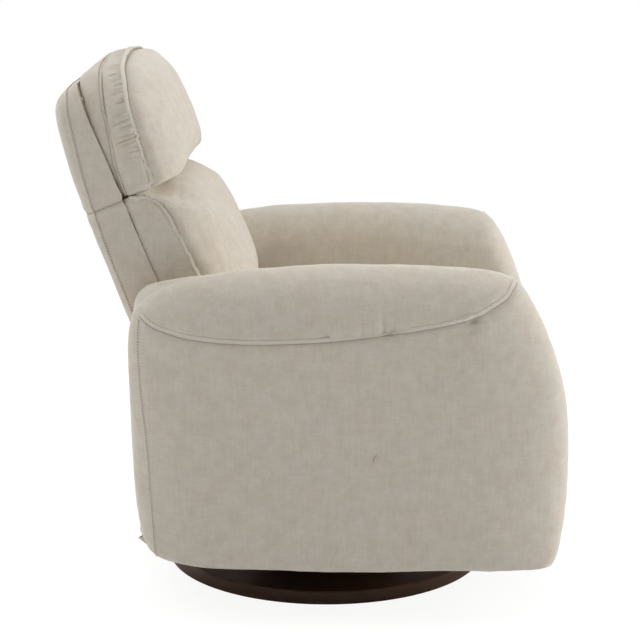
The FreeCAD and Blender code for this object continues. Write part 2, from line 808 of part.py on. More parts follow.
def make_tub_rear():
    """Padded panel across the back of the tub, bowed to the rear."""
    half = value("size.inner_half")
    inner = value("size.tub_inner")
    middle = value("size.tub_rear")
    side = value("size.tub_side")
    low = value("size.arm_bottom")
    top = value("size.tub_top")
    sections = []
    for station in (-1, -0.75, -0.45, -0.15, 0.15, 0.45, 0.75, 1):
        rear = side + (middle - side) * (1 - station ** 2)
        sections.append(soft_section(half * station, inner, rear, low, top, (1, 3, 6, 5), (0, 0, 0, 0)))
    node(soft_feature("tub_rear_soft", loft(sections)), "tub_rear_panel")


# Seat

def make_seat():
    hinge_y = "size.hinge_y"
    ear = "size.hinge_ear"
    pivot_y = "0 - size.foot_pivot_y"
    front = "%s - size.slot_half" % pivot_y
    slot_low = "size.foot_pivot_z - size.bar_length * sin(size.fold_angle)"
    slot_high = "size.foot_pivot_z - size.bar_length * sin(size.open_angle)"
    holes = [
        (pivot_y, "size.foot_pivot_z", "size.rivet + size.loop_fit"),
        (hinge_y, "size.hinge_z", "size.hinge_pin + size.fit"),
        ("0 - size.tube_y", "size.tube_z", "size.tube_radius"),
    ]
    slots = [(pivot_y, slot_low, pivot_y, slot_high, "size.rivet + size.loop_fit")]
    side = plate("seat_side_left_body", [
        (front, "%s - size.slot_foot" % slot_low),
        ("%s + size.slot_half" % pivot_y, "%s - size.slot_foot" % slot_low),
        ("%s + 2 * size.slot_half" % pivot_y, "size.side_waist"),
        ("%s + %s" % (hinge_y, ear), "size.side_waist"),
        ("%s + %s" % (hinge_y, ear), "size.hinge_z + %s" % ear),
        ("%s - %s" % (hinge_y, ear), "size.hinge_z + %s" % ear),
        ("%s - 2 * %s" % (hinge_y, ear), "size.side_top"),
        (front, "size.side_top"),
    ], "size.steel", SIDE_IN, holes, slots, rounding="size.slot_half / 3")
    left_and_right("seat_side", side)

    runner = block("seat_runner_left", SIDE_OUT, "0 - size.runner_front",
                   "size.track_top - size.track_height + size.track_sheet + size.gap",
                   "size.side_gap - size.track_sheet - size.gap",
                   "size.runner_front + size.runner_rear",
                   "size.track_height - 2 * size.track_sheet - 2 * size.gap")
    pair("seat_runners", runner)

    rail_z = "size.side_top - size.rail_height"
    node(block("rail_front", "0 - %s" % SIDE_IN, "0 - size.rail_front", rail_z, "2 * %s" % SIDE_IN,
               "size.rail_thick", "size.rail_height"), "seat_rail_front")
    node(block("rail_rear", "0 - %s" % SIDE_IN, "size.rail_rear - size.rail_thick", rail_z,
               "2 * %s" % SIDE_IN, "size.rail_thick", "size.rail_height"), "seat_rail_rear")

    outer = rod("tube_outer", "0 - %s" % SIDE_OUT, "0 - size.tube_y", "size.tube_z", "size.tube_radius",
                "2 * %s" % SIDE_OUT)
    bore = rod("tube_bore", "0 - 2 * %s" % SIDE_OUT, "0 - size.tube_y", "size.tube_z",
               "size.tube_radius - size.tube_wall", "4 * %s" % SIDE_OUT)
    node(cut("tube_cut", outer, bore), "torque_tube")

    straps = []
    count = 4
    for index in range(count):
        share = (index + 0.5) / count
        y = "0 - size.rail_front + %g * (size.rail_front + size.rail_rear) - size.strap_width / 2" % share
        straps.append(block("seat_strap_%d" % index, "0 - %s" % SIDE_OUT, y, "size.side_top",
                            "2 * %s" % SIDE_OUT, "size.strap_width", "size.strap_thick"))
    node(group("seat_strap_group", straps), "seat_webbing")
    node(soft_feature("seat_cushion_soft", seat_cushion()), "seat_cushion")


# Place across the seat, drop of the crown and draw of the sides
SEAT_STATIONS = (
    (-1, 34, 16),
    (-0.92, 18, 5),
    (-0.6, 6, 1),
    (0, 0, 0),
    (0.6, 6, 1),
    (0.92, 18, 5),
    (1, 34, 16),
)


def seat_cushion():
    """Crowned cushion whose sides draw in and whose front rolls over."""
    half = value(CUSHION_HALF)
    front = value("size.seat_front")
    rear = value("size.seat_rear")
    low = value("size.side_top + size.strap_thick + size.gap")
    top = value("size.seat_top")
    sections = []
    for station, drop, draw in SEAT_STATIONS:
        thick = top - drop - low
        sections.append(soft_section(half * station, -front + draw + 6, rear - draw, low, top - drop - 6,
                                     (0.22 * thick, 0.42 * thick, 0.3 * thick, 0.2 * thick),
                                     (0, 6, 6, 0)))
    return loft(sections)


# Back

def leaning_block(name, x, y, z, length, width, height):
    """Box in the back's leaning frame, given by its near corner and sizes."""
    item = DOC.addObject("Part::Box", name)
    bind(item, "Length", length)
    bind(item, "Width", width)
    bind(item, "Height", height)
    place(item, x, "size.hinge_y + (%s) * cos(size.lean) + (%s) * sin(size.lean)" % (y, z),
          "size.hinge_z - (%s) * sin(size.lean) + (%s) * cos(size.lean)" % (y, z), "0 - size.lean")
    return item


BACK_FACE = "(size.shell_face + size.strap_thick)"


def make_back_frame():
    start = "(2 * size.hinge_ear)"
    inside = "(%s - size.bar_gap)" % SIDE_IN
    bracket = new_body("back_bracket_left_body")
    sketch = sketch_on(bracket, "YZ_Plane")
    draw_outline(sketch, [
        ("0 - size.hinge_ear", "0 - size.hinge_ear"),
        ("size.hinge_ear", "0 - size.hinge_ear"),
        ("%s + size.post_depth" % BACK_FACE, "size.hinge_ear"),
        ("%s + size.post_depth" % BACK_FACE, "3 * %s" % start),
        (BACK_FACE, "3 * %s" % start),
        ("0 - size.hinge_ear", "size.hinge_ear"),
    ])
    pad(bracket, sketch, "size.steel")
    round_edges(bracket, "size.hinge_ear / 3", Vector(1, 0, 0))
    pin = sketch_on(bracket, "YZ_Plane")
    draw_circle(pin, 0, 0, "size.hinge_pin")
    pad(bracket, pin, "2 * size.steel + size.bar_gap")
    place(bracket, "%s - size.steel" % inside, "size.hinge_y", "size.hinge_z", "0 - size.lean")
    pair("back_brackets", bracket)

    post_in = "(%s - size.steel - size.post_width)" % inside
    post_left = leaning_block("back_post_left", post_in, BACK_FACE, start, "size.post_width",
                              "size.post_depth", "size.post_top - %s" % start)
    left_and_right("back_post", post_left)

    for name, share in (("low", 0), ("middle", 0.5), ("top", 1)):
        z = "%s + %g * (size.post_top - %s - size.back_rail)" % (start, share, start)
        rail = leaning_block("back_rail_block_" + name, "0 - %s" % post_in, BACK_FACE, z,
                             "2 * %s" % post_in, "size.post_depth / 2", "size.back_rail")
        node(rail, "back_rail_" + name)

    straps = []
    count = 5
    reach = "(%s + size.post_width)" % post_in
    for index in range(count):
        share = (index + 0.5) / count
        z = "%s + %g * (size.post_top - %s) - size.strap_width / 2" % (start, share, start)
        straps.append(leaning_block("back_strap_%d" % index, "0 - %s" % reach, "size.shell_face", z,
                                    "2 * %s" % reach, "size.strap_thick", "size.strap_width"))
    node(group("back_strap_group", straps), "back_webbing")


def make_back_shell():
    """Padded shell: a rounded tray, open at the front for the frame."""
    half = value(CUSHION_HALF)
    face = value("size.shell_face")
    rear = value("size.shell_rear")
    rear_top = value("size.shell_rear_top")
    low = value("size.shell_low")
    top = value("size.shell_top")
    lip = value("size.shell_lip")
    brow = value("size.shell_brow")
    belly = value("size.shell_belly")
    hem = value("size.shell_hem")
    sections = []
    for station, draw in ((-1, 22), (-0.93, 7), (-0.6, 1), (0, 0), (0.6, 1), (0.93, 7), (1, 22)):
        x = half * station
        back = rear - draw
        crown = top - 0.4 * draw
        slope = rear - rear_top

        def at(y, z):
            return Vector(x, y, z)

        sections.append(Part.Wire([
            Part.LineSegment(at(back - 12, low), at(face, low)).toShape(),
            Part.LineSegment(at(face, low), at(face, crown - lip)).toShape(),
            arc(at(face, crown - lip), at(face + 0.4 * lip, crown - 0.25 * lip), at(face + 1.5 * lip, crown)),
            arc(at(face + 1.5 * lip, crown), at(back - slope - 0.8 * brow, crown - 0.13 * brow),
                at(back - slope, crown - brow)),
            arc(at(back - slope, crown - brow), at(back - 0.3 * slope, 0.5 * (low + crown) + belly),
                at(back, low + hem)),
            arc(at(back, low + hem), at(back - 1, low + 0.5 * hem), at(back - 2, low + 10)),
            arc(at(back - 2, low + 10), at(back - 5, low + 3), at(back - 12, low)),
        ]))
    shell = soft_feature("back_shell_soft", loft(sections))
    lean_back(shell)
    hollow = "(%s - size.bar_gap)" % SIDE_IN
    pocket_tool = leaning_block("back_shell_hollow", "0 - %s" % hollow,
                                "0 - size.shell_face", "0 - size.shell_low",
                                "2 * %s" % hollow,
                                "2 * size.shell_face + size.strap_thick + size.post_depth",
                                "size.post_top + size.shell_low")
    return node(cut("back_shell_cut", shell, pocket_tool), "back_shell")


# Place across the back, share of the crown's depth and draw of the ends
CUSHION_STATIONS = (
    (-1, 0, 10),
    (-0.9, 0.25, 2),
    (-0.5, 0.85, 0),
    (0, 1, 0),
    (0.5, 0.85, 0),
    (0.9, 0.25, 2),
    (1, 0, 10),
)


def crowned_cushion(front, side_front, rear, low, top, fall):
    """Front crowned from side to side, sides drawn in, in the back's leaning frame.

    fall is how far the top comes down from its rear to the start of the front round.
    """
    full_round = value("size.cushion_round")
    seam = value("size.cushion_seam")
    half = value(CUSHION_HALF) - 2
    depth = front - side_front
    sections = []
    for station, share, draw in CUSHION_STATIONS:
        face = -(side_front + depth * share)
        corner = min(full_round, rear - face - seam)
        x = half * station
        foot = low + draw
        head = top - draw
        brow = head - fall
        sections.append(Part.Wire([
            straight(x, rear, head, rear, foot),
            straight(x, rear, foot, face + corner, foot),
            quarter(x, face + corner, foot, face, foot + corner),
            straight(x, face, foot + corner, face, brow - corner),
            quarter(x, face, brow - corner, face + corner, brow),
            straight(x, face + corner, brow, rear, head),
        ]))
    return loft(sections)


def make_cushions():
    face = value("size.shell_face")
    split = value("size.split")
    lumbar = crowned_cushion(value("size.lumbar_front"), 42, face - 0.2, value("size.lumbar_low"),
                             split - 5, 0)
    lumbar_node = soft_feature("lumbar_soft", lumbar)
    lean_back(lumbar_node)
    node(lumbar_node, "lumbar_cushion")
    pillow = crowned_cushion(value("size.pillow_front"), 52, face - 0.2, split + 3,
                             value("size.pillow_top"), value("size.pillow_fall"))
    pillow_node = soft_feature("pillow_soft", pillow)
    lean_back(pillow_node)
    node(pillow_node, "head_pillow")


# Footrest

PIVOT_Y = "(0 - size.foot_pivot_y)"
PIVOT_Z = "size.foot_pivot_z"
STEP_Y = "(size.bar_length * cos(size.fold_angle))"
STEP_Z = "(size.bar_length * sin(size.fold_angle))"
LOW_Z = "(%s - %s)" % (PIVOT_Z, STEP_Z)
FIRST_Y = "(%s - %s)" % (PIVOT_Y, STEP_Y)
LAST_Y = "(%s - 2 * %s)" % (PIVOT_Y, STEP_Y)
DOWN = "180 + size.fold_angle"
UP = "180 - size.fold_angle"
MIDDLE = "size.bar_length / 2"


def layer(index):
    """Outer face of a layer of the footrest linkage, counted inward from the side plate."""
    return "(%s - size.bar_gap - %d * (size.bar_thick + size.bar_gap))" % (SIDE_IN, index)


def reach(layers):
    """Rivet length from its bar's far face through a number of neighbouring layers."""
    return "(%d * (size.bar_thick + size.bar_gap) + size.bar_thick)" % layers


def scissor_bar(name, level, y, z, turn, length, holes, inward=(), outward=()):
    """Flat bar from a pivot: holes and rivets are places along it."""
    body = new_body(name + "_left")
    sketch = sketch_on(body, "YZ_Plane")
    draw_slot(sketch, 0, 0, length, 0, "size.bar_half")
    pad(body, sketch, "size.bar_thick")
    if holes:
        cuts = sketch_on(body, "YZ_Plane")
        for along in holes:
            draw_circle(cuts, along, 0, "size.rivet + size.loop_fit")
        pocket(body, cuts, "3 * size.bar_thick")
    for along, layers in inward:
        rivet = sketch_on(body, "YZ_Plane")
        bind(rivet, "AttachmentOffset.Base.z", "size.bar_thick")
        draw_circle(rivet, along, 0, "size.rivet")
        pad(body, rivet, reach(layers), reverse=True)
    for along, layers in outward:
        rivet = sketch_on(body, "YZ_Plane")
        draw_circle(rivet, along, 0, "size.rivet")
        pad(body, rivet, reach(layers))
    place(body, "%s - size.bar_thick" % layer(level), y, z, turn)
    pair(name, body)


def make_footrest():
    end = "size.bar_length"
    scissor_bar("footrest_bar_a", 0, PIVOT_Y, PIVOT_Z, DOWN, end, [],
                inward=[(MIDDLE, 1), (end, 1)], outward=[(0, 1)])
    scissor_bar("footrest_bar_c", 1, PIVOT_Y, LOW_Z, UP, end, [MIDDLE], outward=[(0, 2), (end, 1)])
    scissor_bar("footrest_bar_d", 1, FIRST_Y, LOW_Z, UP, end, [0], inward=[(end, 2)], outward=[(MIDDLE, 1)])
    scissor_bar("footrest_bar_e", 0, FIRST_Y, PIVOT_Z, DOWN, end, [0, MIDDLE],
                inward=[("size.steer_pivot", 2)])

    steer_y = "(%s - size.steer_pivot * cos(size.fold_angle))" % FIRST_Y
    steer_z = "(%s - size.steer_pivot * sin(size.fold_angle))" % PIVOT_Z
    board_y = "(%s + size.steer_back)" % LAST_Y
    board_z = "(%s - size.steer_down)" % PIVOT_Z
    span_y = "(%s - %s)" % (board_y, steer_y)
    span_z = "(%s - %s)" % (board_z, steer_z)
    tilt_length = "sqrt(%s ^ 2 + %s ^ 2)" % (span_y, span_z)
    scissor_bar("footrest_tilt_link", 2, steer_y, steer_z, "atan2(%s; %s)" % (span_z, span_y), tilt_length,
                [0, tilt_length])

    face = "(%s - size.foot_board_gap)" % LAST_Y
    margin = "1.2 * size.bar_half"
    bracket = plate("footrest_bracket_left", [
        (face, "%s - 2 * size.bar_half" % board_z),
        ("%s + %s" % (board_y, margin), "%s - %s" % (board_z, margin)),
        ("%s + %s" % (LAST_Y, margin), "%s + size.bar_half" % PIVOT_Z),
        (face, "%s + size.bar_half" % PIVOT_Z),
    ], "size.bar_thick", "%s - size.bar_thick" % layer(3), [
        (LAST_Y, PIVOT_Z, "size.rivet + size.fit"),
        (board_y, board_z, "size.rivet + size.loop_fit"),
    ])
    pair("footrest_brackets", bracket)

    board_half = "(size.inner_half - size.foot_board_side)"
    board_low = "(%s - size.foot_board_low)" % PIVOT_Z
    node(block("footrest_panel", "0 - %s" % board_half, "%s - size.foot_board" % face, board_low,
               "2 * %s" % board_half, "size.foot_board", "size.foot_board_low + size.foot_board_high"),
         "footrest_board")
    node(soft_feature("footrest_pad_soft", footrest_pad(face, board_low)), "footrest_pad")


def footrest_pad(face, board_low):
    """Padded cover in front of the board, crowned and drawn in at its sides."""
    half = value("size.inner_half - size.foot_pad_side")
    rear = value("%s - size.foot_board" % face)
    thick = value("size.foot_pad")
    low = value("%s - size.foot_pad_low" % board_low)
    top = value("%s + size.foot_board_low + size.foot_board_high + size.foot_pad_high" % board_low)
    sections = []
    for station, share, draw in ((-1, 0.45, 4), (-0.93, 0.75, 1), (-0.6, 0.96, 0), (0, 1, 0),
                                 (0.6, 0.96, 0), (0.93, 0.75, 1), (1, 0.45, 4)):
        deep = thick * share
        flat = deep - 4
        sections.append(soft_section(half * station, rear - flat, rear, low + draw, top - draw,
                                     (0.5 * flat, 0.6 * flat, 1.5, 1.5), (0, 4, 0, 0), crisp=True))
    return loft(sections)


# Release

def make_release():
    wall = "0 - size.inner_half"
    bezel_y = "0 - size.lever_y - size.lever_half - size.bezel_margin"
    high = "size.lever_half + size.bezel_margin"
    bezel = plate("release_bezel_body", [
        (bezel_y, "size.lever_z - (%s)" % high),
        ("size.lever_length - size.lever_y + %s" % high, "size.lever_z - (%s)" % high),
        ("size.lever_length - size.lever_y + %s" % high, "size.lever_z + %s" % high),
        (bezel_y, "size.lever_z + %s" % high),
    ], "size.bezel", wall, [("0 - size.lever_y", "size.lever_z", "size.rivet + size.fit")],
        rounding="size.bezel_margin")
    node(bezel, "release_bezel")

    lever = new_body("release_lever_body")
    sketch = sketch_on(lever, "YZ_Plane")
    draw_slot(sketch, 0, 0, "size.lever_length", 0, "size.lever_half")
    pad(lever, sketch, "size.lever_thick")
    pin = sketch_on(lever, "YZ_Plane")
    draw_circle(pin, 0, 0, "size.rivet")
    pad(lever, pin, "size.bezel + size.gap", reverse=True)
    place(lever, "size.bezel + size.gap - size.inner_half", "0 - size.lever_y", "size.lever_z")
    node(lever, "release_lever")


def check_and_write():
    DOC.recompute()
    for item in DOC.Objects:
        bad = [state for state in item.State if state in ("Invalid", "Error")]
        if bad:
            raise RuntimeError("%s is %s" % (item.Name, ", ".join(bad)))
    labels = [item.Label for item in NODES]
    if len(set(labels)) != len(labels):
        raise RuntimeError("two sub-parts share a name")
    for item in NODES:
        if item.Shape.isNull() or not item.Shape.isValid():
            raise RuntimeError(item.Label + " has no valid shape")
    os.makedirs("parts", exist_ok=True)
    for item in NODES:
        item.Shape.exportStep("parts/%s.step" % item.Label)
    print(len(NODES), "sub-parts written")


fill_sheet()
make_base()
make_swivel()
make_links()
make_tub_frame()
make_arm()
make_tub_rear()
make_seat()
make_back_frame()
make_back_shell()
make_cushions()
make_footrest()
make_release()
check_and_write()
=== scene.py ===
import json
import math

import bpy
import numpy as np
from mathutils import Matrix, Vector
from mathutils.bvhtree import BVHTree
from mathutils.kdtree import KDTree


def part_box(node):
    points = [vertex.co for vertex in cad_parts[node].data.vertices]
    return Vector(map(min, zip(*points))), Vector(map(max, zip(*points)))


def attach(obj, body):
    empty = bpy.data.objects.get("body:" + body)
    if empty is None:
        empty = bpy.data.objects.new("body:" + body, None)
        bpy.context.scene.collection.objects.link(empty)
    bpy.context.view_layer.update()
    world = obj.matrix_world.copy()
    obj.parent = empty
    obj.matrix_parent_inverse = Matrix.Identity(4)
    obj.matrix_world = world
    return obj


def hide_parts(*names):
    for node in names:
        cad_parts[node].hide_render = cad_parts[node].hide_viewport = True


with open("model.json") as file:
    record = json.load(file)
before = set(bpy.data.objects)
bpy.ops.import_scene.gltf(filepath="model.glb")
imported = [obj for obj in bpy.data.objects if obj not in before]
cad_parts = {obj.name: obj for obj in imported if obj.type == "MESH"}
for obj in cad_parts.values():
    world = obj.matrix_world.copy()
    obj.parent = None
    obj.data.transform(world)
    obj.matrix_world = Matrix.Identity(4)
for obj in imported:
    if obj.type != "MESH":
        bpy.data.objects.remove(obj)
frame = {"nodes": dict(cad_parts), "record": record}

bl_info = {
    "name": "Swivel Glider Recliner",
    "version": (1, 0, 0),
    "blender": (4, 5, 0),
    "location": "View3D > Sidebar > Recliner",
    "description": "Upholstery, seams and finishes for a swivel glider recliner",
    "category": "Object",
}

# Lengths are in metres. The chair faces -Y, and +X is the occupant's left.
HALF_TURN = math.pi
QUARTER = math.pi / 2

# The back leans by LEAN about its hinge. Places on it are across, rearward and up from there.
LEAN = math.radians(22)
HINGE = Vector((0.0, 0.200, 0.400))

THREAD_RADIUS = 0.0008
THREAD_SIDES = 6
SETTLING_FRAMES = 20

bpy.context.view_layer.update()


# Colours


def linear(text):
    """sRGB hex such as "#D8CDBE" as a linear colour with alpha."""
    parts = [int(text[place:place + 2], 16) / 255 for place in (1, 3, 5)]
    return tuple(p / 12.92 if p <= 0.04045 else ((p + 0.055) / 1.055) ** 2.4 for p in parts) + (1.0,)


class RECLINER_PG_cloth(bpy.types.PropertyGroup):
    """Colours of the cover cloth."""

    pile: bpy.props.FloatVectorProperty(
        name="Pile", description="Main colour of the chenille", subtype="COLOR", size=4, min=0, max=1,
        default=linear("#E6DFD2"))
    pile_warm: bpy.props.FloatVectorProperty(
        name="Warm pile", description="Pinkish patches in the chenille", subtype="COLOR", size=4, min=0, max=1,
        default=linear("#E7DED0"))
    pile_cool: bpy.props.FloatVectorProperty(
        name="Cool pile", description="Greyish patches in the chenille", subtype="COLOR", size=4, min=0, max=1,
        default=linear("#E5DFD3"))
    thread: bpy.props.FloatVectorProperty(
        name="Thread", description="Topstitching thread", subtype="COLOR", size=4, min=0, max=1,
        default=linear("#B9AC99"))


class RECLINER_PG_sizes(bpy.types.PropertyGroup):
    """Sizes of the upholstery's details."""

    welt: bpy.props.FloatProperty(
        name="Welt width", description="Width of the topstitched seam", subtype="DISTANCE", unit="LENGTH",
        default=0.010, min=0.004, max=0.03)
    stitch: bpy.props.FloatProperty(
        name="Stitch pitch", description="Distance between topstitches", subtype="DISTANCE", unit="LENGTH",
        default=0.0055, min=0.003, max=0.02)
    pleat: bpy.props.FloatProperty(
        name="Pleat depth", description="Depth of the head pillow's gathers", subtype="DISTANCE", unit="LENGTH",
        default=0.0035, min=0.0, max=0.01)


def cloth():
    return bpy.context.scene.recliner_cloth


def sizes():
    return bpy.context.scene.recliner_sizes


# Meshes


def mesh_object(name, points, faces, material, smooth=True):
    mesh = bpy.data.meshes.new(name)
    mesh.from_pydata([tuple(p) for p in points], [], faces)
    mesh.validate()
    mesh.polygons.foreach_set("use_smooth", [smooth] * len(mesh.polygons))
    mesh.update()
    piece = bpy.data.objects.new(name, mesh)
    bpy.context.scene.collection.objects.link(piece)
    piece.data.materials.append(material)
    return piece


def dress(piece, body, replaced=()):
    """Give a piece its body, and hide the solid that it stands for."""
    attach(piece, body)
    if replaced:
        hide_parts(*replaced)


def ring_mesh(rings):
    """Points and faces of a closed skin through rings, given as an array of rings, points and axes."""
    rings = np.asarray(rings)
    total, count = rings.shape[:2]
    points = np.vstack([rings.reshape(-1, 3), rings[0].mean(0), rings[-1].mean(0)])
    step = np.arange(count)
    after = (step + 1) % count
    low = (np.arange(total - 1) * count)[:, None]
    quads = np.stack([low + step, low + after, low + count + after, low + count + step], 2).reshape(-1, 4)
    first, last = total * count, total * count + 1
    foot = np.stack([after, step, np.full(count, first)], 1)
    head = (total - 1) * count + np.stack([step, after, step], 1)
    head[:, 2] = last
    return points, quads.tolist() + foot.tolist() + head.tolist()


def ripple(points, wavelength, seed, octaves=1):
    """Smooth seeded noise from -1 to 1 at each point, from plane waves of about one length."""
    random = np.random.default_rng(seed)
    total = np.zeros(len(points))
    weight = 1.0
    waves = 14
    for octave in range(octaves):
        part = np.zeros(len(points))
        for _wave in range(waves):
            direction = random.normal(size=3)
            direction /= np.linalg.norm(direction)
            length = wavelength * random.uniform(0.75, 1.35) / 2 ** octave
            part += np.sin(points @ direction * (2 * HALF_TURN / length) + random.uniform(0, 2 * HALF_TURN))
        total += weight * part / math.sqrt(waves)
        weight *= 0.5
    return np.clip(total / 1.6, -1, 1)


def normals_of(mesh):
    found = np.zeros(len(mesh.vertices) * 3)
    mesh.vertex_normals.foreach_get("vector", found)
    return found.reshape(-1, 3)


def points_of(mesh):
    found = np.zeros(len(mesh.vertices) * 3)
    mesh.vertices.foreach_get("co", found)
    return found.reshape(-1, 3)


def press(piece, amounts):
    """Move each point of a piece along its normal."""
    mesh = piece.data
    moved = points_of(mesh) + normals_of(mesh) * np.asarray(amounts)[:, None]
    mesh.vertices.foreach_set("co", moved.ravel())
    mesh.update()


def cloth_swelling(rings, limit, pressure=4.0):
    """Where a stuffed cover moves to, as points and moves.

    The cover is given as coarse rings. It is simulated as cloth with air pressure inside and no
    weight, and no point moves further than the limit.
    """
    points, faces = ring_mesh(rings)
    trial = mesh_object("cloth_trial", points, faces, None)
    face_outward(trial)
    modifier = trial.modifiers.new("cloth", "CLOTH")
    fabric = modifier.settings
    fabric.use_pressure = True
    fabric.uniform_pressure_force = pressure
    fabric.mass = 0.25
    fabric.tension_stiffness = fabric.compression_stiffness = 12.0
    fabric.shear_stiffness = 4.0
    fabric.bending_stiffness = 0.4
    fabric.effector_weights.gravity = 0.0
    modifier.point_cache.frame_start, modifier.point_cache.frame_end = 1, SETTLING_FRAMES
    for number in range(1, SETTLING_FRAMES + 1):
        bpy.context.scene.frame_set(number)
    settled = points_of(trial.evaluated_get(bpy.context.evaluated_depsgraph_get()).data)
    moves = settled - points
    length = np.linalg.norm(moves, axis=1)[:, None]
    moves *= limit * np.tanh(length / limit) / np.maximum(length, 1e-9)
    mesh = trial.data
    bpy.data.objects.remove(trial)
    bpy.data.meshes.remove(mesh)
    bpy.context.scene.frame_set(1)
    return points, moves


def swell(piece, depths, form, limit, freedom):
    """Move a fine cover as its coarse twin moves in the cloth simulation.

    freedom gives each point's share of that move, so that parts which are held stay still.
    """
    few = np.append(depths[:-1:4], depths[-1])
    coarse, moves = cloth_swelling(boxed_rings(few, *form, (24, 30, 6), 6), limit)
    tree = KDTree(len(coarse))
    for index, point in enumerate(coarse):
        tree.insert(point, index)
    tree.balance()
    points = points_of(piece.data)
    change = np.zeros_like(points)
    for index, point in enumerate(points):
        near = tree.find_n(point, 5)
        weights = np.array([1 / (hit[2] ** 2 + 1e-6) for hit in near])
        change[index] = weights @ moves[[hit[1] for hit in near]] / weights.sum()
    change *= freedom(points)[:, None]
    piece.data.vertices.foreach_set("co", (points + change).ravel())
    piece.data.update()


def face_outward(piece):
    """Turn the faces of a closed piece so that their normals point out."""
    mesh = piece.data
    mesh.calc_loop_triangles()
    corners = np.zeros(len(mesh.loop_triangles) * 3, dtype=np.int32)
    mesh.loop_triangles.foreach_get("vertices", corners)
    a, b, c = points_of(mesh)[corners].reshape(-1, 3, 3).transpose(1, 0, 2)
    if np.einsum("ij,ij->", a, np.cross(b, c)) < 0:
        mesh.flip_normals()
    mesh.update()


def smooth_line(keys, count, closed=False):
    """Evenly spaced points on a smooth curve through key points."""
    keys = np.asarray(keys, float)
    if closed:
        padded = np.vstack([keys[-1], keys, keys[0], keys[1]])
    else:
        padded = np.vstack([2 * keys[0] - keys[1], keys, 2 * keys[-1] - keys[-2]])
    fine = []
    share = np.linspace(0, 1, 24, endpoint=False)[:, None]
    for start in range(len(padded) - 3):
        a, b, c, d = padded[start:start + 4]
        fine.append(0.5 * (2 * b + (c - a) * share + (2 * a - 5 * b + 4 * c - d) * share ** 2
                           + (3 * b - a - 3 * c + d) * share ** 3))
    fine = np.vstack(fine + [padded[-2][None]])
    length = np.concatenate([[0], np.cumsum(np.linalg.norm(np.diff(fine, axis=0), axis=1))])
    wanted = np.linspace(0, length[-1], count, endpoint=not closed)
    return np.stack([np.interp(wanted, length, fine[:, axis]) for axis in range(fine.shape[1])], 1)


def spaced(path, pitch):
    """Points on a path of straight steps at an even distance."""
    length = np.concatenate([[0], np.cumsum(np.linalg.norm(np.diff(path, axis=0), axis=1))])
    count = max(2, int(round(length[-1] / pitch)) + 1)
    wanted = np.linspace(0, length[-1], count)
    return np.stack([np.interp(wanted, length, path[:, axis]) for axis in range(3)], 1)


def skin_of(piece):
    """Search tree of a piece's faces."""
    mesh = piece.data
    return BVHTree.FromPolygons(points_of(mesh).tolist(), [tuple(p.vertices) for p in mesh.polygons])


def on_surface(skin, path):
    """Path moved onto a skin, with the skin's normals."""
    found = [skin.find_nearest(Vector(point)) for point in path]
    return np.array([hit[0] for hit in found]), even(np.array([hit[1] for hit in found]))


def even(vectors, reach=3):
    """Average of neighbouring vectors along a path, at unit length."""
    total = np.zeros_like(vectors)
    count = len(vectors)
    for shift in range(-reach, reach + 1):
        total += vectors[np.clip(np.arange(count) + shift, 0, count - 1)]
    return total / np.linalg.norm(total, axis=1)[:, None]


def directions(path):
    ahead = np.gradient(path, axis=0)
    return ahead / np.linalg.norm(ahead, axis=1)[:, None]


def sideways(path, normals):
    """Unit vectors across a path, in the surface that it lies on."""
    across = np.cross(normals, directions(path))
    return across / np.linalg.norm(across, axis=1)[:, None]


def ribbon(name, path, normals, width, height, surface, body, sink=0.001):
    """Soft raised strip along a path: a folded seam allowance held by topstitching."""
    across = sideways(path, normals)
    profile = ((-0.5, -1), (-0.5, 0.1), (-0.44, 0.62), (-0.28, 0.95), (0, 1), (0.28, 0.95), (0.44, 0.62),
               (0.5, 0.1), (0.5, -1))
    rings = []
    for index in range(len(path)):
        ring = []
        for side, rise in profile:
            up = rise * height if rise > 0 else rise * sink
            ring.append(path[index] + across[index] * side * width + normals[index] * up)
        rings.append(ring)
    dress(mesh_object(name, *ring_mesh(rings), shared(surface)), body)


def stitches(name, path, normals, body, length_share=0.66, lift=0.0003):
    """Row of short raised threads along a path."""
    pitch = sizes().stitch
    spots = spaced(path, pitch)
    along_all = directions(spots)
    steps = np.linspace(0, len(path) - 1, len(spots))
    up_all = np.stack([np.interp(steps, np.arange(len(path)), normals[:, axis]) for axis in range(3)], 1)
    points = []
    faces = []
    beads = ((-0.5, 0.3), (-0.3, 0.9), (0.3, 0.9), (0.5, 0.3))
    sides = THREAD_SIDES
    for spot, along, up in zip(spots, along_all, up_all):
        up = up / np.linalg.norm(up)
        across = np.cross(up, along)
        across /= np.linalg.norm(across)
        start = len(points)
        for place, girth in beads:
            centre = spot + along * place * pitch * length_share + up * lift
            for side in range(sides):
                angle = 2 * HALF_TURN * side / sides
                points.append(centre + (across * math.cos(angle) + up * math.sin(angle)) * THREAD_RADIUS * girth)
        for ring in range(len(beads) - 1):
            low = start + ring * sides
            for side in range(sides):
                after = (side + 1) % sides
                faces.append((low + side, low + after, low + sides + after, low + sides + side))
        faces.append(tuple(start + side for side in reversed(range(sides))))
        last = start + (len(beads) - 1) * sides
        faces.append(tuple(last + side for side in range(sides)))
    dress(mesh_object(name, points, faces, shared(bonded_thread)), body)


# Boxed cushions: rounded rectangles stacked from the back of a cushion to its face


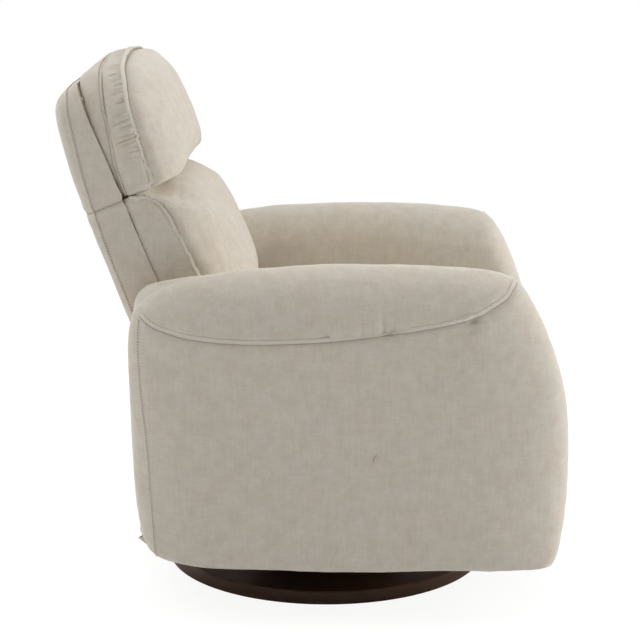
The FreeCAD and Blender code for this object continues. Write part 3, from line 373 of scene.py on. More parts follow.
def rounded_rectangle(half, low, high, corners, counts):
    """Points round a rectangle with rounded corners, from the middle of its low side.

    corners are the radii of the low and the high corners. counts are the steps on a level side,
    on an upright side and round a corner.
    """
    level, upright, bend = counts
    below, above = (max(0.0005, min(corner, half * 0.98, (high - low) * 0.49)) for corner in corners)

    def line(a, b, count):
        share = np.linspace(0, 1, count, endpoint=False)[:, None]
        return np.array(a) + (np.array(b) - np.array(a)) * share

    def turn(centre, radius, start, count):
        angle = start + QUARTER * np.linspace(0, 1, count, endpoint=False)
        return np.stack([centre[0] + radius * np.cos(angle), centre[1] + radius * np.sin(angle)], 1)

    return np.vstack([
        line((0, low), (half - below, low), level // 2),
        turn((half - below, low + below), below, -QUARTER, bend),
        line((half, low + below), (half, high - above), upright),
        turn((half - above, high - above), above, 0, bend),
        line((half - above, high), (above - half, high), level),
        turn((above - half, high - above), above, QUARTER, bend),
        line((-half, high - above), (-half, low + below), upright),
        turn((below - half, low + below), below, HALF_TURN, bend),
        line((below - half, low), (0, low), level // 2),
    ])


def closing_rings(loop, count, first=True):
    """Rings that close a loop towards its middle."""
    centre = loop.mean(0)
    shares = np.linspace(0.02, 1, count, endpoint=False)
    rings = [centre + (loop - centre) * share for share in shares]
    return rings if first else rings[::-1]


def leaning(points):
    """Points given as across, forward-to-rear and up-the-back, put into the chair's frame."""
    across, rearward, up = points[:, 0], points[:, 1], points[:, 2]
    return np.stack([
        across,
        HINGE.y + rearward * math.cos(LEAN) + up * math.sin(LEAN),
        HINGE.z - rearward * math.sin(LEAN) + up * math.cos(LEAN),
    ], 1)


# Materials


def add_node(tree, kind, settings=(), inputs=(), links=(), stops=()):
    """Add a shader node.

    settings are its properties, inputs its socket values, links the nodes or sockets that feed it,
    and stops the places and colours of a ramp.
    """
    node = tree.nodes.new("ShaderNode" + kind)
    for key, setting in dict(settings).items():
        setattr(node, key, setting)
    for key, number in dict(inputs).items():
        node.inputs[key].default_value = number
    for key, source in dict(links).items():
        socket = source if isinstance(source, bpy.types.NodeSocket) else source.outputs[0]
        tree.links.new(socket, node.inputs[key])
    if stops:
        elements = node.color_ramp.elements
        for element, stop in zip(elements, (stops[0], stops[-1])):
            element.position, element.color = stop
        for place, colour in stops[1:-1]:
            elements.new(place).color = colour
    return node


def new_material(name, surface):
    """Material that shows the shader node which surface(tree) returns."""
    material = bpy.data.materials.new(name)
    material.use_nodes = True
    tree = material.node_tree
    tree.nodes.clear()
    add_node(tree, "OutputMaterial", links={"Surface": surface(tree)})
    return material


def lumps(size_mm, detail, roughness=0.5):
    """Noise values for lumps of a size in millimetres."""
    return {"Scale": 1000 / size_mm, "Detail": detail, "Roughness": roughness}


def grey(level):
    """A roughness as the colour of a ramp's stop."""
    return (level, level, level, 1.0)


WHITE = linear("#FFFFFF")
MULTIPLY = {"data_type": "RGBA", "blend_type": "MULTIPLY"}


def chenille(tree, painted_highlight_tone=None):
    """Short-pile polyester chenille: matt, with a pale bloom where the pile is seen edge on.

    Its yarns are about 1 mm apart. They are drawn 4 mm apart, so that they show, and the patches
    where the pile lies another way are 30 to 60 mm across.
    """
    colours = cloth()
    places = add_node(tree, "TexCoord").outputs["Object"]
    upright = add_node(tree, "Mapping", inputs={"Scale": (1, 1, 0.12)}, links={"Vector": places})
    level = add_node(tree, "Mapping", inputs={"Scale": (0.16, 0.16, 1)}, links={"Vector": places})
    patches = add_node(tree, "TexNoise", inputs=lumps(60, 3.0, 0.55), links={"Vector": places})
    clouds = add_node(tree, "TexNoise", inputs=lumps(24, 4.0, 0.62), links={"Vector": places})
    slub_up = add_node(tree, "TexNoise", inputs=lumps(4.5, 3.0, 0.6), links={"Vector": upright})
    slub_level = add_node(tree, "TexNoise", inputs=lumps(4.0, 3.0, 0.6), links={"Vector": level})
    fuzz = add_node(tree, "TexNoise", inputs=lumps(2.4, 2.0, 0.7), links={"Vector": places})
    base = add_node(tree, "ValToRGB", links={"Fac": patches}, stops=(
        (0.36, colours.pile_warm), (0.5, colours.pile), (0.64, colours.pile_cool)))
    colour = base.outputs[0]
    for source, low, high, shade in ((clouds, 0.36, 0.64, "#F7F5F3"), (slub_up, 0.38, 0.62, "#FBFAF9"),
                                     (slub_level, 0.38, 0.62, "#FBFAF9")):
        tint = add_node(tree, "ValToRGB", links={"Fac": source}, stops=((low, linear(shade)), (high, WHITE)))
        colour = add_node(tree, "Mix", MULTIPLY, {0: 1.0}, {6: colour, 7: tint}).outputs[2]
    # Painted highlight: an optional paler tone, mixed in half and half, that stands for the light a raised seam
    # catches.
    if painted_highlight_tone:
        colour = add_node(tree, "Mix", {"data_type": "RGBA"}, {0: 0.5, 7: linear(painted_highlight_tone)}, {6: colour}).outputs[2]
    height = slub_up
    for source in (slub_level, fuzz):
        height = add_node(tree, "Math", {"operation": "ADD"}, links={0: height, 1: source})
    bump = add_node(tree, "Bump", inputs={"Strength": 0.10, "Distance": 0.0006}, links={"Height": height})
    rough = add_node(tree, "ValToRGB", links={"Fac": clouds}, stops=((0.3, grey(0.80)), (0.7, grey(0.92))))
    return add_node(tree, "BsdfPrincipled",
                    inputs={"Sheen Weight": 0.45, "Sheen Roughness": 0.42, "IOR": 1.45,
                            "Specular IOR Level": 0.2, "Sheen Tint": linear("#FFFBF5")},
                    links={"Base Color": colour, "Roughness": rough, "Normal": bump})


def seam_nap_painted_highlight(tree):
    """The same chenille where a seam's stitching presses the pile flat, painted paler as a highlight for the light
    that the raised seam catches.
    """
    return chenille(tree, "#ECE5DA")


def bonded_thread(tree):
    """Topstitching thread, twisted and a little darker than the cloth."""
    places = add_node(tree, "TexCoord").outputs["Object"]
    twist = add_node(tree, "TexNoise", inputs=lumps(1.5, 2.0), links={"Vector": places})
    colour = add_node(tree, "ValToRGB", links={"Fac": twist}, stops=(
        (0.3, linear("#9C8F7B")), (0.7, cloth().thread)))
    return add_node(tree, "BsdfPrincipled", inputs={"Roughness": 0.6, "IOR": 1.5, "Sheen Weight": 0.2},
                    links={"Base Color": colour})


def stained_walnut(tree):
    """Dark walnut veneer under a satin lacquer: fine grain along X."""
    places = add_node(tree, "TexCoord").outputs["Object"]
    grain = add_node(tree, "Mapping", inputs={"Scale": (0.04, 0.04, 1)}, links={"Vector": places})
    pores = add_node(tree, "Mapping", inputs={"Scale": (0.03, 0.03, 1)}, links={"Vector": places})
    bands = add_node(tree, "TexNoise", inputs=lumps(9, 5.0, 0.6), links={"Vector": grain})
    lines = add_node(tree, "TexNoise", inputs=lumps(1.6, 3.0, 0.65), links={"Vector": pores})
    base = add_node(tree, "ValToRGB", links={"Fac": bands}, stops=(
        (0.3, linear("#3A2312")), (0.5, linear("#4E3018")), (0.72, linear("#5F3D20"))))
    fine = add_node(tree, "ValToRGB", links={"Fac": lines}, stops=((0.35, linear("#CDBFB0")), (0.6, WHITE)))
    colour = add_node(tree, "Mix", MULTIPLY, {0: 0.7}, {6: base, 7: fine}).outputs[2]
    bump = add_node(tree, "Bump", inputs={"Strength": 0.25, "Distance": 0.0004}, links={"Height": lines})
    rough = add_node(tree, "ValToRGB", links={"Fac": bands}, stops=((0.3, grey(0.30)), (0.7, grey(0.42))))
    return add_node(tree, "BsdfPrincipled", inputs={"IOR": 1.5, "Coat Weight": 0.25, "Coat Roughness": 0.25},
                    links={"Base Color": colour, "Roughness": rough, "Normal": bump})


def birch_plywood(tree):
    """Raw frame timber: pale, dry and faintly striped."""
    places = add_node(tree, "TexCoord").outputs["Object"]
    grain = add_node(tree, "Mapping", inputs={"Scale": (0.06, 0.5, 1)}, links={"Vector": places})
    bands = add_node(tree, "TexNoise", inputs=lumps(7, 4.0, 0.6), links={"Vector": grain})
    colour = add_node(tree, "ValToRGB", links={"Fac": bands}, stops=(
        (0.3, linear("#B18E63")), (0.55, linear("#CDAE82")), (0.75, linear("#DCC49C"))))
    bump = add_node(tree, "Bump", inputs={"Strength": 0.3, "Distance": 0.0005}, links={"Height": bands})
    return add_node(tree, "BsdfPrincipled", inputs={"Roughness": 0.7, "IOR": 1.5},
                    links={"Base Color": colour, "Normal": bump})


def powder_coat(tree):
    """Stamped steel with a baked black powder coat: a fine orange peel and patches of dust."""
    places = add_node(tree, "TexCoord").outputs["Object"]
    peel = add_node(tree, "TexNoise", inputs=lumps(1.8, 2.0), links={"Vector": places})
    dust = add_node(tree, "TexNoise", inputs=lumps(40, 4.0, 0.65), links={"Vector": places})
    colour = add_node(tree, "ValToRGB", links={"Fac": dust}, stops=(
        (0.4, linear("#191A1B")), (0.75, linear("#2E2E2D"))))
    rough = add_node(tree, "ValToRGB", links={"Fac": dust}, stops=((0.35, grey(0.38)), (0.75, grey(0.6))))
    bump = add_node(tree, "Bump", inputs={"Strength": 0.3, "Distance": 0.0003}, links={"Height": peel})
    return add_node(tree, "BsdfPrincipled", inputs={"IOR": 1.5},
                    links={"Base Color": colour, "Roughness": rough, "Normal": bump})


def zinc_plate(tree):
    """Bright zinc on turned and stamped steel: cloudy grey with a soft gloss."""
    places = add_node(tree, "TexCoord").outputs["Object"]
    spangle = add_node(tree, "TexNoise", inputs=lumps(6, 4.0, 0.6), links={"Vector": places})
    colour = add_node(tree, "ValToRGB", links={"Fac": spangle}, stops=(
        (0.35, linear("#9A9C9E")), (0.7, linear("#C6C8C9"))))
    rough = add_node(tree, "ValToRGB", links={"Fac": spangle}, stops=((0.35, grey(0.3)), (0.7, grey(0.48))))
    return add_node(tree, "BsdfPrincipled", inputs={"Metallic": 1.0},
                    links={"Base Color": colour, "Roughness": rough})


def moulded_nylon(tree):
    """Black nylon with a matt moulded grain."""
    places = add_node(tree, "TexCoord").outputs["Object"]
    grain = add_node(tree, "TexNoise", inputs=lumps(1.2, 2.0), links={"Vector": places})
    colour = add_node(tree, "ValToRGB", links={"Fac": grain}, stops=(
        (0.3, linear("#1B1B1B")), (0.7, linear("#252524"))))
    bump = add_node(tree, "Bump", inputs={"Strength": 0.3, "Distance": 0.0003}, links={"Height": grain})
    return add_node(tree, "BsdfPrincipled", inputs={"Roughness": 0.55, "IOR": 1.53},
                    links={"Base Color": colour, "Normal": bump})


def moulded_lever(tree):
    """Brown ABS of the release: fine spark-eroded grain, a little glossier in patches."""
    places = add_node(tree, "TexCoord").outputs["Object"]
    grain = add_node(tree, "TexNoise", inputs=lumps(1.0, 2.0), links={"Vector": places})
    wear = add_node(tree, "TexNoise", inputs=lumps(25, 3.0), links={"Vector": places})
    colour = add_node(tree, "ValToRGB", links={"Fac": wear}, stops=(
        (0.35, linear("#3B3029")), (0.7, linear("#4A3D34"))))
    rough = add_node(tree, "ValToRGB", links={"Fac": wear}, stops=((0.35, grey(0.38)), (0.7, grey(0.5))))
    bump = add_node(tree, "Bump", inputs={"Strength": 0.35, "Distance": 0.0002}, links={"Height": grain})
    return add_node(tree, "BsdfPrincipled", inputs={"IOR": 1.53},
                    links={"Base Color": colour, "Roughness": rough, "Normal": bump})


def elastic_webbing(tree):
    """Black jute and rubber webbing with a coarse rib, 4 mm apart, across each strap."""
    places = add_node(tree, "TexCoord").outputs["Object"]
    rib = add_node(tree, "TexWave", {"bands_direction": "X"},
                   {"Scale": 1 / (20 * 0.004), "Distortion": 0.4, "Detail": 2.0}, {"Vector": places}).outputs["Fac"]
    colour = add_node(tree, "ValToRGB", links={"Fac": rib}, stops=(
        (0.2, linear("#1A1918")), (0.8, linear("#3A3734"))))
    bump = add_node(tree, "Bump", inputs={"Strength": 0.5, "Distance": 0.0008}, links={"Height": rib})
    return add_node(tree, "BsdfPrincipled", inputs={"Roughness": 0.85, "IOR": 1.5},
                    links={"Base Color": colour, "Normal": bump})


def paper_sweep(tree):
    """Seamless matt white paper under the chair, lifted to white where the camera sees it."""
    places = add_node(tree, "TexCoord").outputs["Object"]
    fibre = add_node(tree, "TexNoise", inputs=lumps(30, 2.0), links={"Vector": places})
    colour = add_node(tree, "ValToRGB", links={"Fac": fibre}, stops=((0.3, linear("#FAFAFA")), (0.7, WHITE)))
    paper = add_node(tree, "BsdfPrincipled", inputs={"Roughness": 0.9, "Specular IOR Level": 0.0},
                     links={"Base Color": colour})
    glow = add_node(tree, "Emission", inputs={"Strength": 1.12})
    seen = add_node(tree, "LightPath").outputs["Is Camera Ray"]
    share = add_node(tree, "Math", {"operation": "MULTIPLY"}, {1: 0.80}, {0: seen})
    return add_node(tree, "MixShader", links={0: share, 1: paper, 2: glow})


MATERIAL_NAMES = {
    chenille: "velvet chenille, short pile",
    # Painted highlight: the seam chenille is drawn paler than the cloth.
    seam_nap_painted_highlight: "velvet chenille at a seam, painted paler as a highlight",
    bonded_thread: "spun polyester thread",
    stained_walnut: "walnut, stained and lacquered",
    birch_plywood: "birch plywood, sanded",
    powder_coat: "steel, powder coated black",
    zinc_plate: "steel, zinc plated",
    moulded_nylon: "nylon, moulded",
    moulded_lever: "ABS, moulded brown",
    elastic_webbing: "elastic webbing, woven",
    paper_sweep: "studio paper, matt",
}
MADE_MATERIALS = {}


def shared(surface):
    """One material for each surface function, made on first use."""
    if surface not in MADE_MATERIALS:
        MADE_MATERIALS[surface] = new_material(MATERIAL_NAMES[surface], surface)
    return MADE_MATERIALS[surface]


# Arms

# Outline of an arm at its ridge, seen from the side, as places along Y and Z
ARM_OUTLINE = np.array([
    (-0.408, 0.104), (-0.417, 0.109), (-0.427, 0.137), (-0.436, 0.195), (-0.441, 0.274), (-0.439, 0.345),
    (-0.428, 0.434), (-0.401, 0.520), (-0.366, 0.592), (-0.338, 0.626), (-0.290, 0.641), (-0.223, 0.6465),
    (-0.110, 0.651), (0.000, 0.6495), (0.110, 0.643), (0.200, 0.632), (0.262, 0.617), (0.305, 0.598),
    (0.334, 0.572), (0.346, 0.535), (0.3495, 0.485), (0.3475, 0.405), (0.3435, 0.330), (0.342, 0.255),
    (0.336, 0.190), (0.327, 0.142), (0.316, 0.117), (0.297, 0.105), (0.275, 0.104),
])
ARM_MIDDLE = 0.349
ARM_HALF = 0.081
ARM_FOOT = 0.104
ARM_TOP = 0.651
ARM_FACE_FRONT = -0.180
ARM_FACE_REAR = -0.010
ARM_FACE_HEIGHT = 0.330
# How far back an arm's inner side reaches at each height, to cover the board in it
ARM_REAR_INSIDE = np.array([(0.104, 0.3340), (0.112, 0.3385), (0.120, 0.3430), (0.200, 0.3445)])
# How boxy an arm's front and rear corners are at each height: 2 is round
ARM_CORNER_HEIGHTS = (0.104, 0.16, 0.26)
ARM_FRONT_POWER = (5.0, 3.2, 2.5)
ARM_REAR_POWER = (3.2, 2.6, 2.3)
# How far the outer foot line rises at each place along Y
ARM_FOOT_PLACES = (-0.42, -0.25, -0.05, 0.12, 0.30)
ARM_FOOT_LIFT = (0.005, 0.003, 0.0, 0.003, 0.009)


def arm_loop(count):
    """Evenly spaced outline of the arm's ridge, with its flat foot."""
    upper = smooth_line(ARM_OUTLINE, int(count * 0.74))
    foot_count = count - len(upper)
    share = np.linspace(0, 1, foot_count + 2)[1:-1, None]
    foot = upper[-1] + (upper[0] - upper[-1]) * share
    return np.vstack([upper, foot])


def arm_rear_edge(heights):
    """How far back the arm's ridge outline reaches at each height."""
    rear = ARM_OUTLINE[(ARM_OUTLINE[:, 0] > 0.26) & (ARM_OUTLINE[:, 1] < 0.62)][::-1]
    return np.maximum(np.interp(heights, rear[:, 1], rear[:, 0]), 0.25)


def arm_rings(loop):
    """Rings across an arm from its inner face, over the ridge, to the middle of its outer face."""
    rings = []
    stations = np.concatenate([
        -np.cos(np.linspace(0, QUARTER, 16, endpoint=False)),
        np.sin(np.linspace(0, QUARTER, 30)),
    ])
    for station in stations:
        drop = ARM_HALF * (1 - math.sqrt(max(0.0, 1 - station ** 2)))
        outward, inward = max(0.0, station), max(0.0, -station)
        y, z = loop[:, 0].copy(), loop[:, 1].copy()
        front_power = np.interp(z, ARM_CORNER_HEIGHTS, ARM_FRONT_POWER)
        rear_power = np.interp(z, ARM_CORNER_HEIGHTS, ARM_REAR_POWER)
        front_share = (1 - outward ** front_power) ** (1 / front_power)
        rear_share = (1 - outward ** rear_power) ** (1 / rear_power)
        front_edge = loop[:, 0].min()
        rear_edge = arm_rear_edge(z)
        y_front = ARM_FACE_FRONT + (y - ARM_FACE_FRONT) * front_share
        y_rear = ARM_FACE_REAR + (y - ARM_FACE_REAR) * rear_share
        inside = np.interp(z, ARM_REAR_INSIDE[:, 0], ARM_REAR_INSIDE[:, 1])
        y_rear = y_rear + (inside - rear_edge) * inward ** 0.7 * np.clip((y - 0.2) / (rear_edge - 0.2), 0, 1)
        ahead = np.clip((ARM_FACE_FRONT - y) / (ARM_FACE_FRONT - front_edge), 0, 1)
        y_front = y_front + 0.010 * inward ** 3 * ahead
        y = np.where(y < ARM_FACE_FRONT, y_front, np.where(y > ARM_FACE_REAR, y_rear, y))
        rise = (z - ARM_FOOT) / (ARM_TOP - ARM_FOOT)
        z = z - drop * rise
        tuck = np.clip((outward - 0.86) / 0.14, 0, 1)
        lift = 0.010 * (1 - math.sqrt(1 - min(1.0, tuck) ** 2))
        lift = lift + np.interp(y, ARM_FOOT_PLACES, ARM_FOOT_LIFT)
        z = z + lift * np.clip(1 - rise * 6, 0, 1)
        rings.append(np.stack([np.full(len(y), ARM_MIDDLE + ARM_HALF * station), y, z], 1))
    rim = rings[-1]
    centre = np.array([ARM_MIDDLE + ARM_HALF, (ARM_FACE_FRONT + ARM_FACE_REAR) / 2, ARM_FACE_HEIGHT])
    dense = np.linspace(1, 0.62, 27)[1:]
    coarse = np.linspace(0.62, 0.02, 18)[1:]
    for share in np.concatenate([dense, coarse]):
        rings.append(centre + (rim - centre) * share)
    inner_centre = np.array([ARM_MIDDLE - ARM_HALF, -0.05, 0.33])
    inner = [inner_centre + (rings[0] - inner_centre) * share for share in np.linspace(0.02, 1, 12, endpoint=False)]
    return inner + rings


# The topstitched seam that runs along an arm's outer side, seen from the side
ARM_SEAM = np.array([
    (0.3230, 0.5605), (0.3081, 0.5492), (0.2926, 0.5419), (0.2627, 0.5338), (0.2328, 0.5281), (0.1740, 0.5237),
    (0.1155, 0.5226), (0.0400, 0.5252), (-0.0174, 0.5291), (-0.1042, 0.5392), (-0.2028, 0.5558), (-0.2634, 0.5718),
    (-0.2895, 0.5834), (-0.3192, 0.5998), (-0.3317, 0.6144), (-0.3393, 0.6220),
])
# The plain seam between an arm's side and its rear wrap, seen from the side
REAR_SEAM = np.array([(0.3259, 0.555), (0.3280, 0.530), (0.3289, 0.511), (0.3270, 0.462), (0.3242, 0.417),
                      (0.3181, 0.357), (0.3137, 0.301), (0.3113, 0.245), (0.3077, 0.198), (0.3053, 0.150),
                      (0.3010, 0.115)])


def outer_path(skin, line, side, count):
    """Path on an arm's outer side over a line of Y and Z, found by looking in from outside."""
    path, normals = [], []
    for y, z in smooth_line(line, count):
        place, normal, _face, _distance = skin.ray_cast(Vector((side * 0.7, y, z)), Vector((-side, 0, 0)))
        if place is not None:
            path.append(np.array(place))
            normals.append(np.array(normal))
    return np.array(path), even(np.array(normals), 4)


# Puckers above and below the arm's seam: their count, then the spans from which each one's place
# along Y, width, reach and depth are drawn, then how high their middle lies and how they slant
ARM_PUCKERS = (
    (26, (-0.135, 0.055), (0.0030, 0.0055), (0.018, 0.055), (0.0010, 0.0028), 0.008, 0.06),
    (9, (-0.268, -0.230), (0.0028, 0.0045), (0.015, 0.035), (0.0015, 0.0032), -0.008, -0.25),
)


def arm_details(points):
    """Padding of the panels at the arm's seam, and the puckers that the stitching draws."""
    curve = smooth_line(ARM_SEAM, 160)
    order = np.argsort(curve[:, 0])
    along = points[:, 1]
    above = points[:, 2] - np.interp(along, curve[order, 0], curve[order, 1])
    outer = np.clip((np.abs(points[:, 0]) - 0.375) / 0.03, 0, 1)
    amount = -0.0030 * np.exp(-(above / 0.011) ** 2) * outer
    amount += 0.0022 * outer * np.exp(-((above - 0.028) / 0.020) ** 2)
    amount += 0.0016 * outer * np.exp(-((above + 0.024) / 0.018) ** 2)
    random = np.random.default_rng(11)
    for count, *spans, middle, slant in ARM_PUCKERS:
        for _pucker in range(count):
            place, width, reach, deep = (random.uniform(*span) for span in spans)
            fade = np.exp(-((above - middle) / reach) ** 2) * (above * middle > 0)
            amount -= deep * outer * fade * np.exp(-((along - place - slant * above) / width) ** 2)
    amount += 0.0012 * ripple(points, 0.16, 3, 2)
    amount += 0.0004 * ripple(points, 0.045, 4, 2)
    return amount


def make_arm(side_name, side):
    rings = np.array(arm_rings(arm_loop(640)))
    rings[:, :, 0] *= side
    arm = mesh_object("arm_%s_cover" % side_name, *ring_mesh(rings), shared(chenille))
    face_outward(arm)
    press(arm, arm_details(points_of(arm.data)))
    dress(arm, "carriage", ("arm_" + side_name,))

    skin = skin_of(arm)
    path, normals = outer_path(skin, ARM_SEAM, side, 150)
    width = sizes().welt
    across = sideways(path, normals)
    across *= np.sign(across[:, 2].sum())
    middle = path + across * width * 0.5
    ribbon("arm_%s_welt" % side_name, middle, normals, width, 0.0021, seam_nap_painted_highlight, "carriage")
    # The low row at the welt's lower edge is real topstitching. Its longer, nearly joined stitches also serve as a
    # painted shadow line for the shade in the groove.
    for row, offset, share in (("low", -0.02, 0.78), ("high", 0.84, 0.62)):
        row_path = path + across * width * offset + normals * 0.0012
        stitches("arm_%s_stitches_%s" % (side_name, row), row_path, normals, "carriage", share)

    path, normals = outer_path(skin, REAR_SEAM, side, 90)
    ribbon("arm_%s_rear_seam" % side_name, path, normals, 0.0045, 0.0011, seam_nap_painted_highlight, "carriage")
    stitches("arm_%s_rear_stitches" % side_name, path + normals * 0.001, normals, "carriage")


class RECLINER_OT_arms(bpy.types.Operator):
    """Upholster both arms, with their topstitched seams"""

    bl_idname = "recliner.arms"
    bl_label = "Arms"

    def execute(self, context):
        make_arm("left", 1)
        make_arm("right", -1)
        return {"FINISHED"}


# Boxed cushions of the back


def boxed_rings(depths, half, low, high, corners, insets, place, counts, cap_rings):
    """Rings of a boxed cushion.

    depths run from its rear to its face. insets gives for each depth how far the side, the low and
    the high edges are drawn in, and place turns across, depth and up into the chair's frame.
    """
    loops = []
    for depth in depths:
        side_in, low_in, high_in = insets(depth)
        rounder = [corner + 0.35 * side_in for corner in corners]
        loops.append(rounded_rectangle(half - side_in, low + low_in, high - high_in, rounder, counts))
    inner = [(depths[0], loop) for loop in closing_rings(loops[0], cap_rings)]
    outer = [(depths[-1], loop) for loop in closing_rings(loops[-1], cap_rings, first=False)]
    rings = inner + list(zip(depths, loops)) + outer
    return [place(loop[:, 0], np.full(len(loop), depth), loop[:, 1]) for depth, loop in rings]


def bulge(depth, start, end, span, power=2.0):
    """Draw-in of an edge: a quarter round from a start to an end in depth, and a span across."""
    share = min(1.0, max(0.0, (depth - start) / (end - start)))
    return span * (1 - (1 - share ** power) ** (1 / power))


def eased(count, low, high, bias=1.0):
    """Depths that crowd towards the high end, where the form turns most."""
    share = np.linspace(0, 1, count)
    return low + (high - low) * np.sin(share * QUARTER) ** bias


# How much wider the gap between the cushions and the shell is at their rims, so that they clear
RIM_GAP = 0.0155


def upholster(name, depths, form, counts, cap_rings, details, body, replaced, swelling=None):
    """Cover of a boxed cushion.

    It is built as rings, swelled as cloth, given the fine relief that details returns for its
    points, and then put on a body in the place of a solid.
    """
    cover = mesh_object(name, *ring_mesh(boxed_rings(depths, *form, counts, cap_rings)), shared(chenille))
    face_outward(cover)
    if swelling:
        swell(cover, depths, form, *swelling)
    press(cover, details(points_of(cover.data)))
    dress(cover, body, (replaced,))
    return cover


PILLOW = {"half": 0.260, "low": 0.3885, "high": 0.6305, "corners": (0.014, 0.080)}
PILLOW_FACE = 0.1190
PILLOW_REAR = -0.0045
PILLOW_BROW = 0.030


def rim_share(across, up):
    """1 where the cushions and the shell meet clear of the back frame: at their sides and their top."""
    beside = np.clip((np.abs(across) - 0.236) / 0.004, 0, 1)
    return np.maximum(beside, np.clip((up - 0.580) / 0.006, 0, 1))


def place_pillow(across, depth, up):
    """Pillow depths run forward from the shell. Its top is domed from side to side."""
    width = (across / PILLOW["half"]) ** 2
    crown = 0.040 * width * np.clip((up - 0.48) / 0.15, 0, 1) * np.clip((depth + 0.010) / 0.045, 0.3, 1)
    lean_in = 0.02 * (up - 0.49) * np.clip(depth / 0.06, 0, 1) * np.clip((PILLOW_FACE - depth) / 0.07, 0, 1)
    rim = RIM_GAP * rim_share(across, up) * np.clip((0.004 - depth) / 0.0085, 0, 1)
    return leaning(np.stack([across, rim - depth - lean_in, up - crown], 1))


def pillow_insets(depth):
    side = bulge(depth, 0.056, PILLOW_FACE, 0.225, 2.05) + bulge(-depth, -0.014, 0.0046, 0.008)
    low = bulge(depth, 0.082, PILLOW_FACE, 0.092, 2.2)
    high = bulge(depth, PILLOW_BROW, PILLOW_FACE, 0.126) + bulge(-depth, -PILLOW_BROW, -PILLOW_REAR, 0.018, 2.5)
    return side, low, high


def pillow_welt(up):
    """Depth of the welt at a height: it curves back under the pillow at the bottom."""
    return np.interp(up, (0.388, 0.3885, 0.390, 0.396, 0.402, 0.42, 0.46, 0.51, 0.564, 0.607, 0.63),
                     (0.000, 0.022, 0.033, 0.040, 0.042, 0.0438, 0.0488, 0.0515, 0.0565, 0.064, 0.067))


def pillow_rear_seam(up):
    return np.interp(up, (0.388, 0.42, 0.454, 0.50, 0.557, 0.607, 0.6285),
                     (-0.0035, -0.0025, -0.0014, 0.0034, 0.0110, 0.0192, 0.0235))


def padded_front(points):
    """0 at a back cushion's rear, which lies against the shell, rising to 1 over its padding."""
    return np.clip((-into_back(points)[:, 1] - 0.012) / 0.03, 0, 1)


def make_pillow():
    depths = np.concatenate([eased(12, PILLOW_REAR, 0.006)[:-1], np.linspace(0.006, 0.06, 22)[:-1],
                             eased(34, 0.06, PILLOW_FACE - 0.0003)])
    form = (*PILLOW.values(), pillow_insets, place_pillow)
    pillow = upholster("head_pillow_cover", depths, form, (100, 110, 70), 10, pillow_details,
                       "back", "head_pillow", (0.003, padded_front))
    skin = skin_of(pillow)
    seam_round(skin, "head_pillow_welt", place_pillow, pillow_insets, pillow_welt, PILLOW, 0.0085, 0.0026, (0.62,))
    seam_round(skin, "head_pillow_rear_seam", place_pillow, pillow_insets, pillow_rear_seam, PILLOW, 0.0030,
               0.0008, (-0.9, 1.3))


def into_back(points):
    """Points in the chair's frame as across, rearward and up-the-back."""
    y = points[:, 1] - HINGE.y
    z = points[:, 2] - HINGE.z
    return np.stack([points[:, 0], y * math.cos(LEAN) - z * math.sin(LEAN),
                     y * math.sin(LEAN) + z * math.cos(LEAN)], 1)


def along_band(across, up):
    """Way along the pillow's band, up one side, round its corner and over its top."""
    radius = PILLOW["corners"][1]
    middle, shoulder = PILLOW["half"] - radius, PILLOW["high"] - radius
    turn = np.arctan2(np.maximum(up - shoulder, 0), np.maximum(across - middle, 1e-6))
    return np.minimum(up, shoulder) + radius * turn + np.maximum(middle - across, 0)


def pillow_details(points):
    """Seams drawn in round the side band, gathers across it, and soft hollows over the crown."""
    local = into_back(points)
    fall = 0.267 * (local[:, 0] / PILLOW["half"]) ** 2
    up = np.where(local[:, 2] > 0.48, (local[:, 2] - 0.48 * fall) / (1 - fall), local[:, 2])
    forward = -local[:, 1] - 0.02 * (up - 0.49)
    forward = np.where((forward < 0.004) & (np.abs(local[:, 0]) > 0.2), 0.004 - (0.004 - forward) / 2.82, forward)
    welt, rear = pillow_welt(up), pillow_rear_seam(up)
    inside = np.clip((forward - rear - 0.001) / 0.005, 0, 1) * np.clip((welt - 0.002 - forward) / 0.005, 0, 1)
    amount = -0.0030 * np.exp(-((forward - welt) / 0.0045) ** 2)
    amount -= 0.0022 * np.exp(-((forward - rear) / 0.0035) ** 2)
    amount += 0.0028 * np.sqrt(inside)
    amount += 0.0030 * np.exp(-((forward - welt - 0.016) / 0.012) ** 2)
    random = np.random.default_rng(23)
    along = along_band(np.abs(local[:, 0]), up)
    for place in np.arange(0.448, 0.83, 0.0102):
        place += random.uniform(-0.003, 0.003)
        width = random.uniform(0.0017, 0.0032)
        slant = random.uniform(-0.25, 0.15)
        deep = sizes().pleat * random.uniform(0.4, 1.0)
        reach = random.uniform(0.4, 1.0)
        across = along - place - slant * (forward - 0.035)
        fade = np.clip((forward - rear - 0.05 * (1 - reach)) / 0.01, 0, 1)
        amount -= deep * inside * fade * np.exp(-(across / width) ** 2)
    amount += 0.0012 * ripple(points, 0.13, 5, 2)
    amount += 0.0003 * ripple(points, 0.04, 6, 2)
    return amount


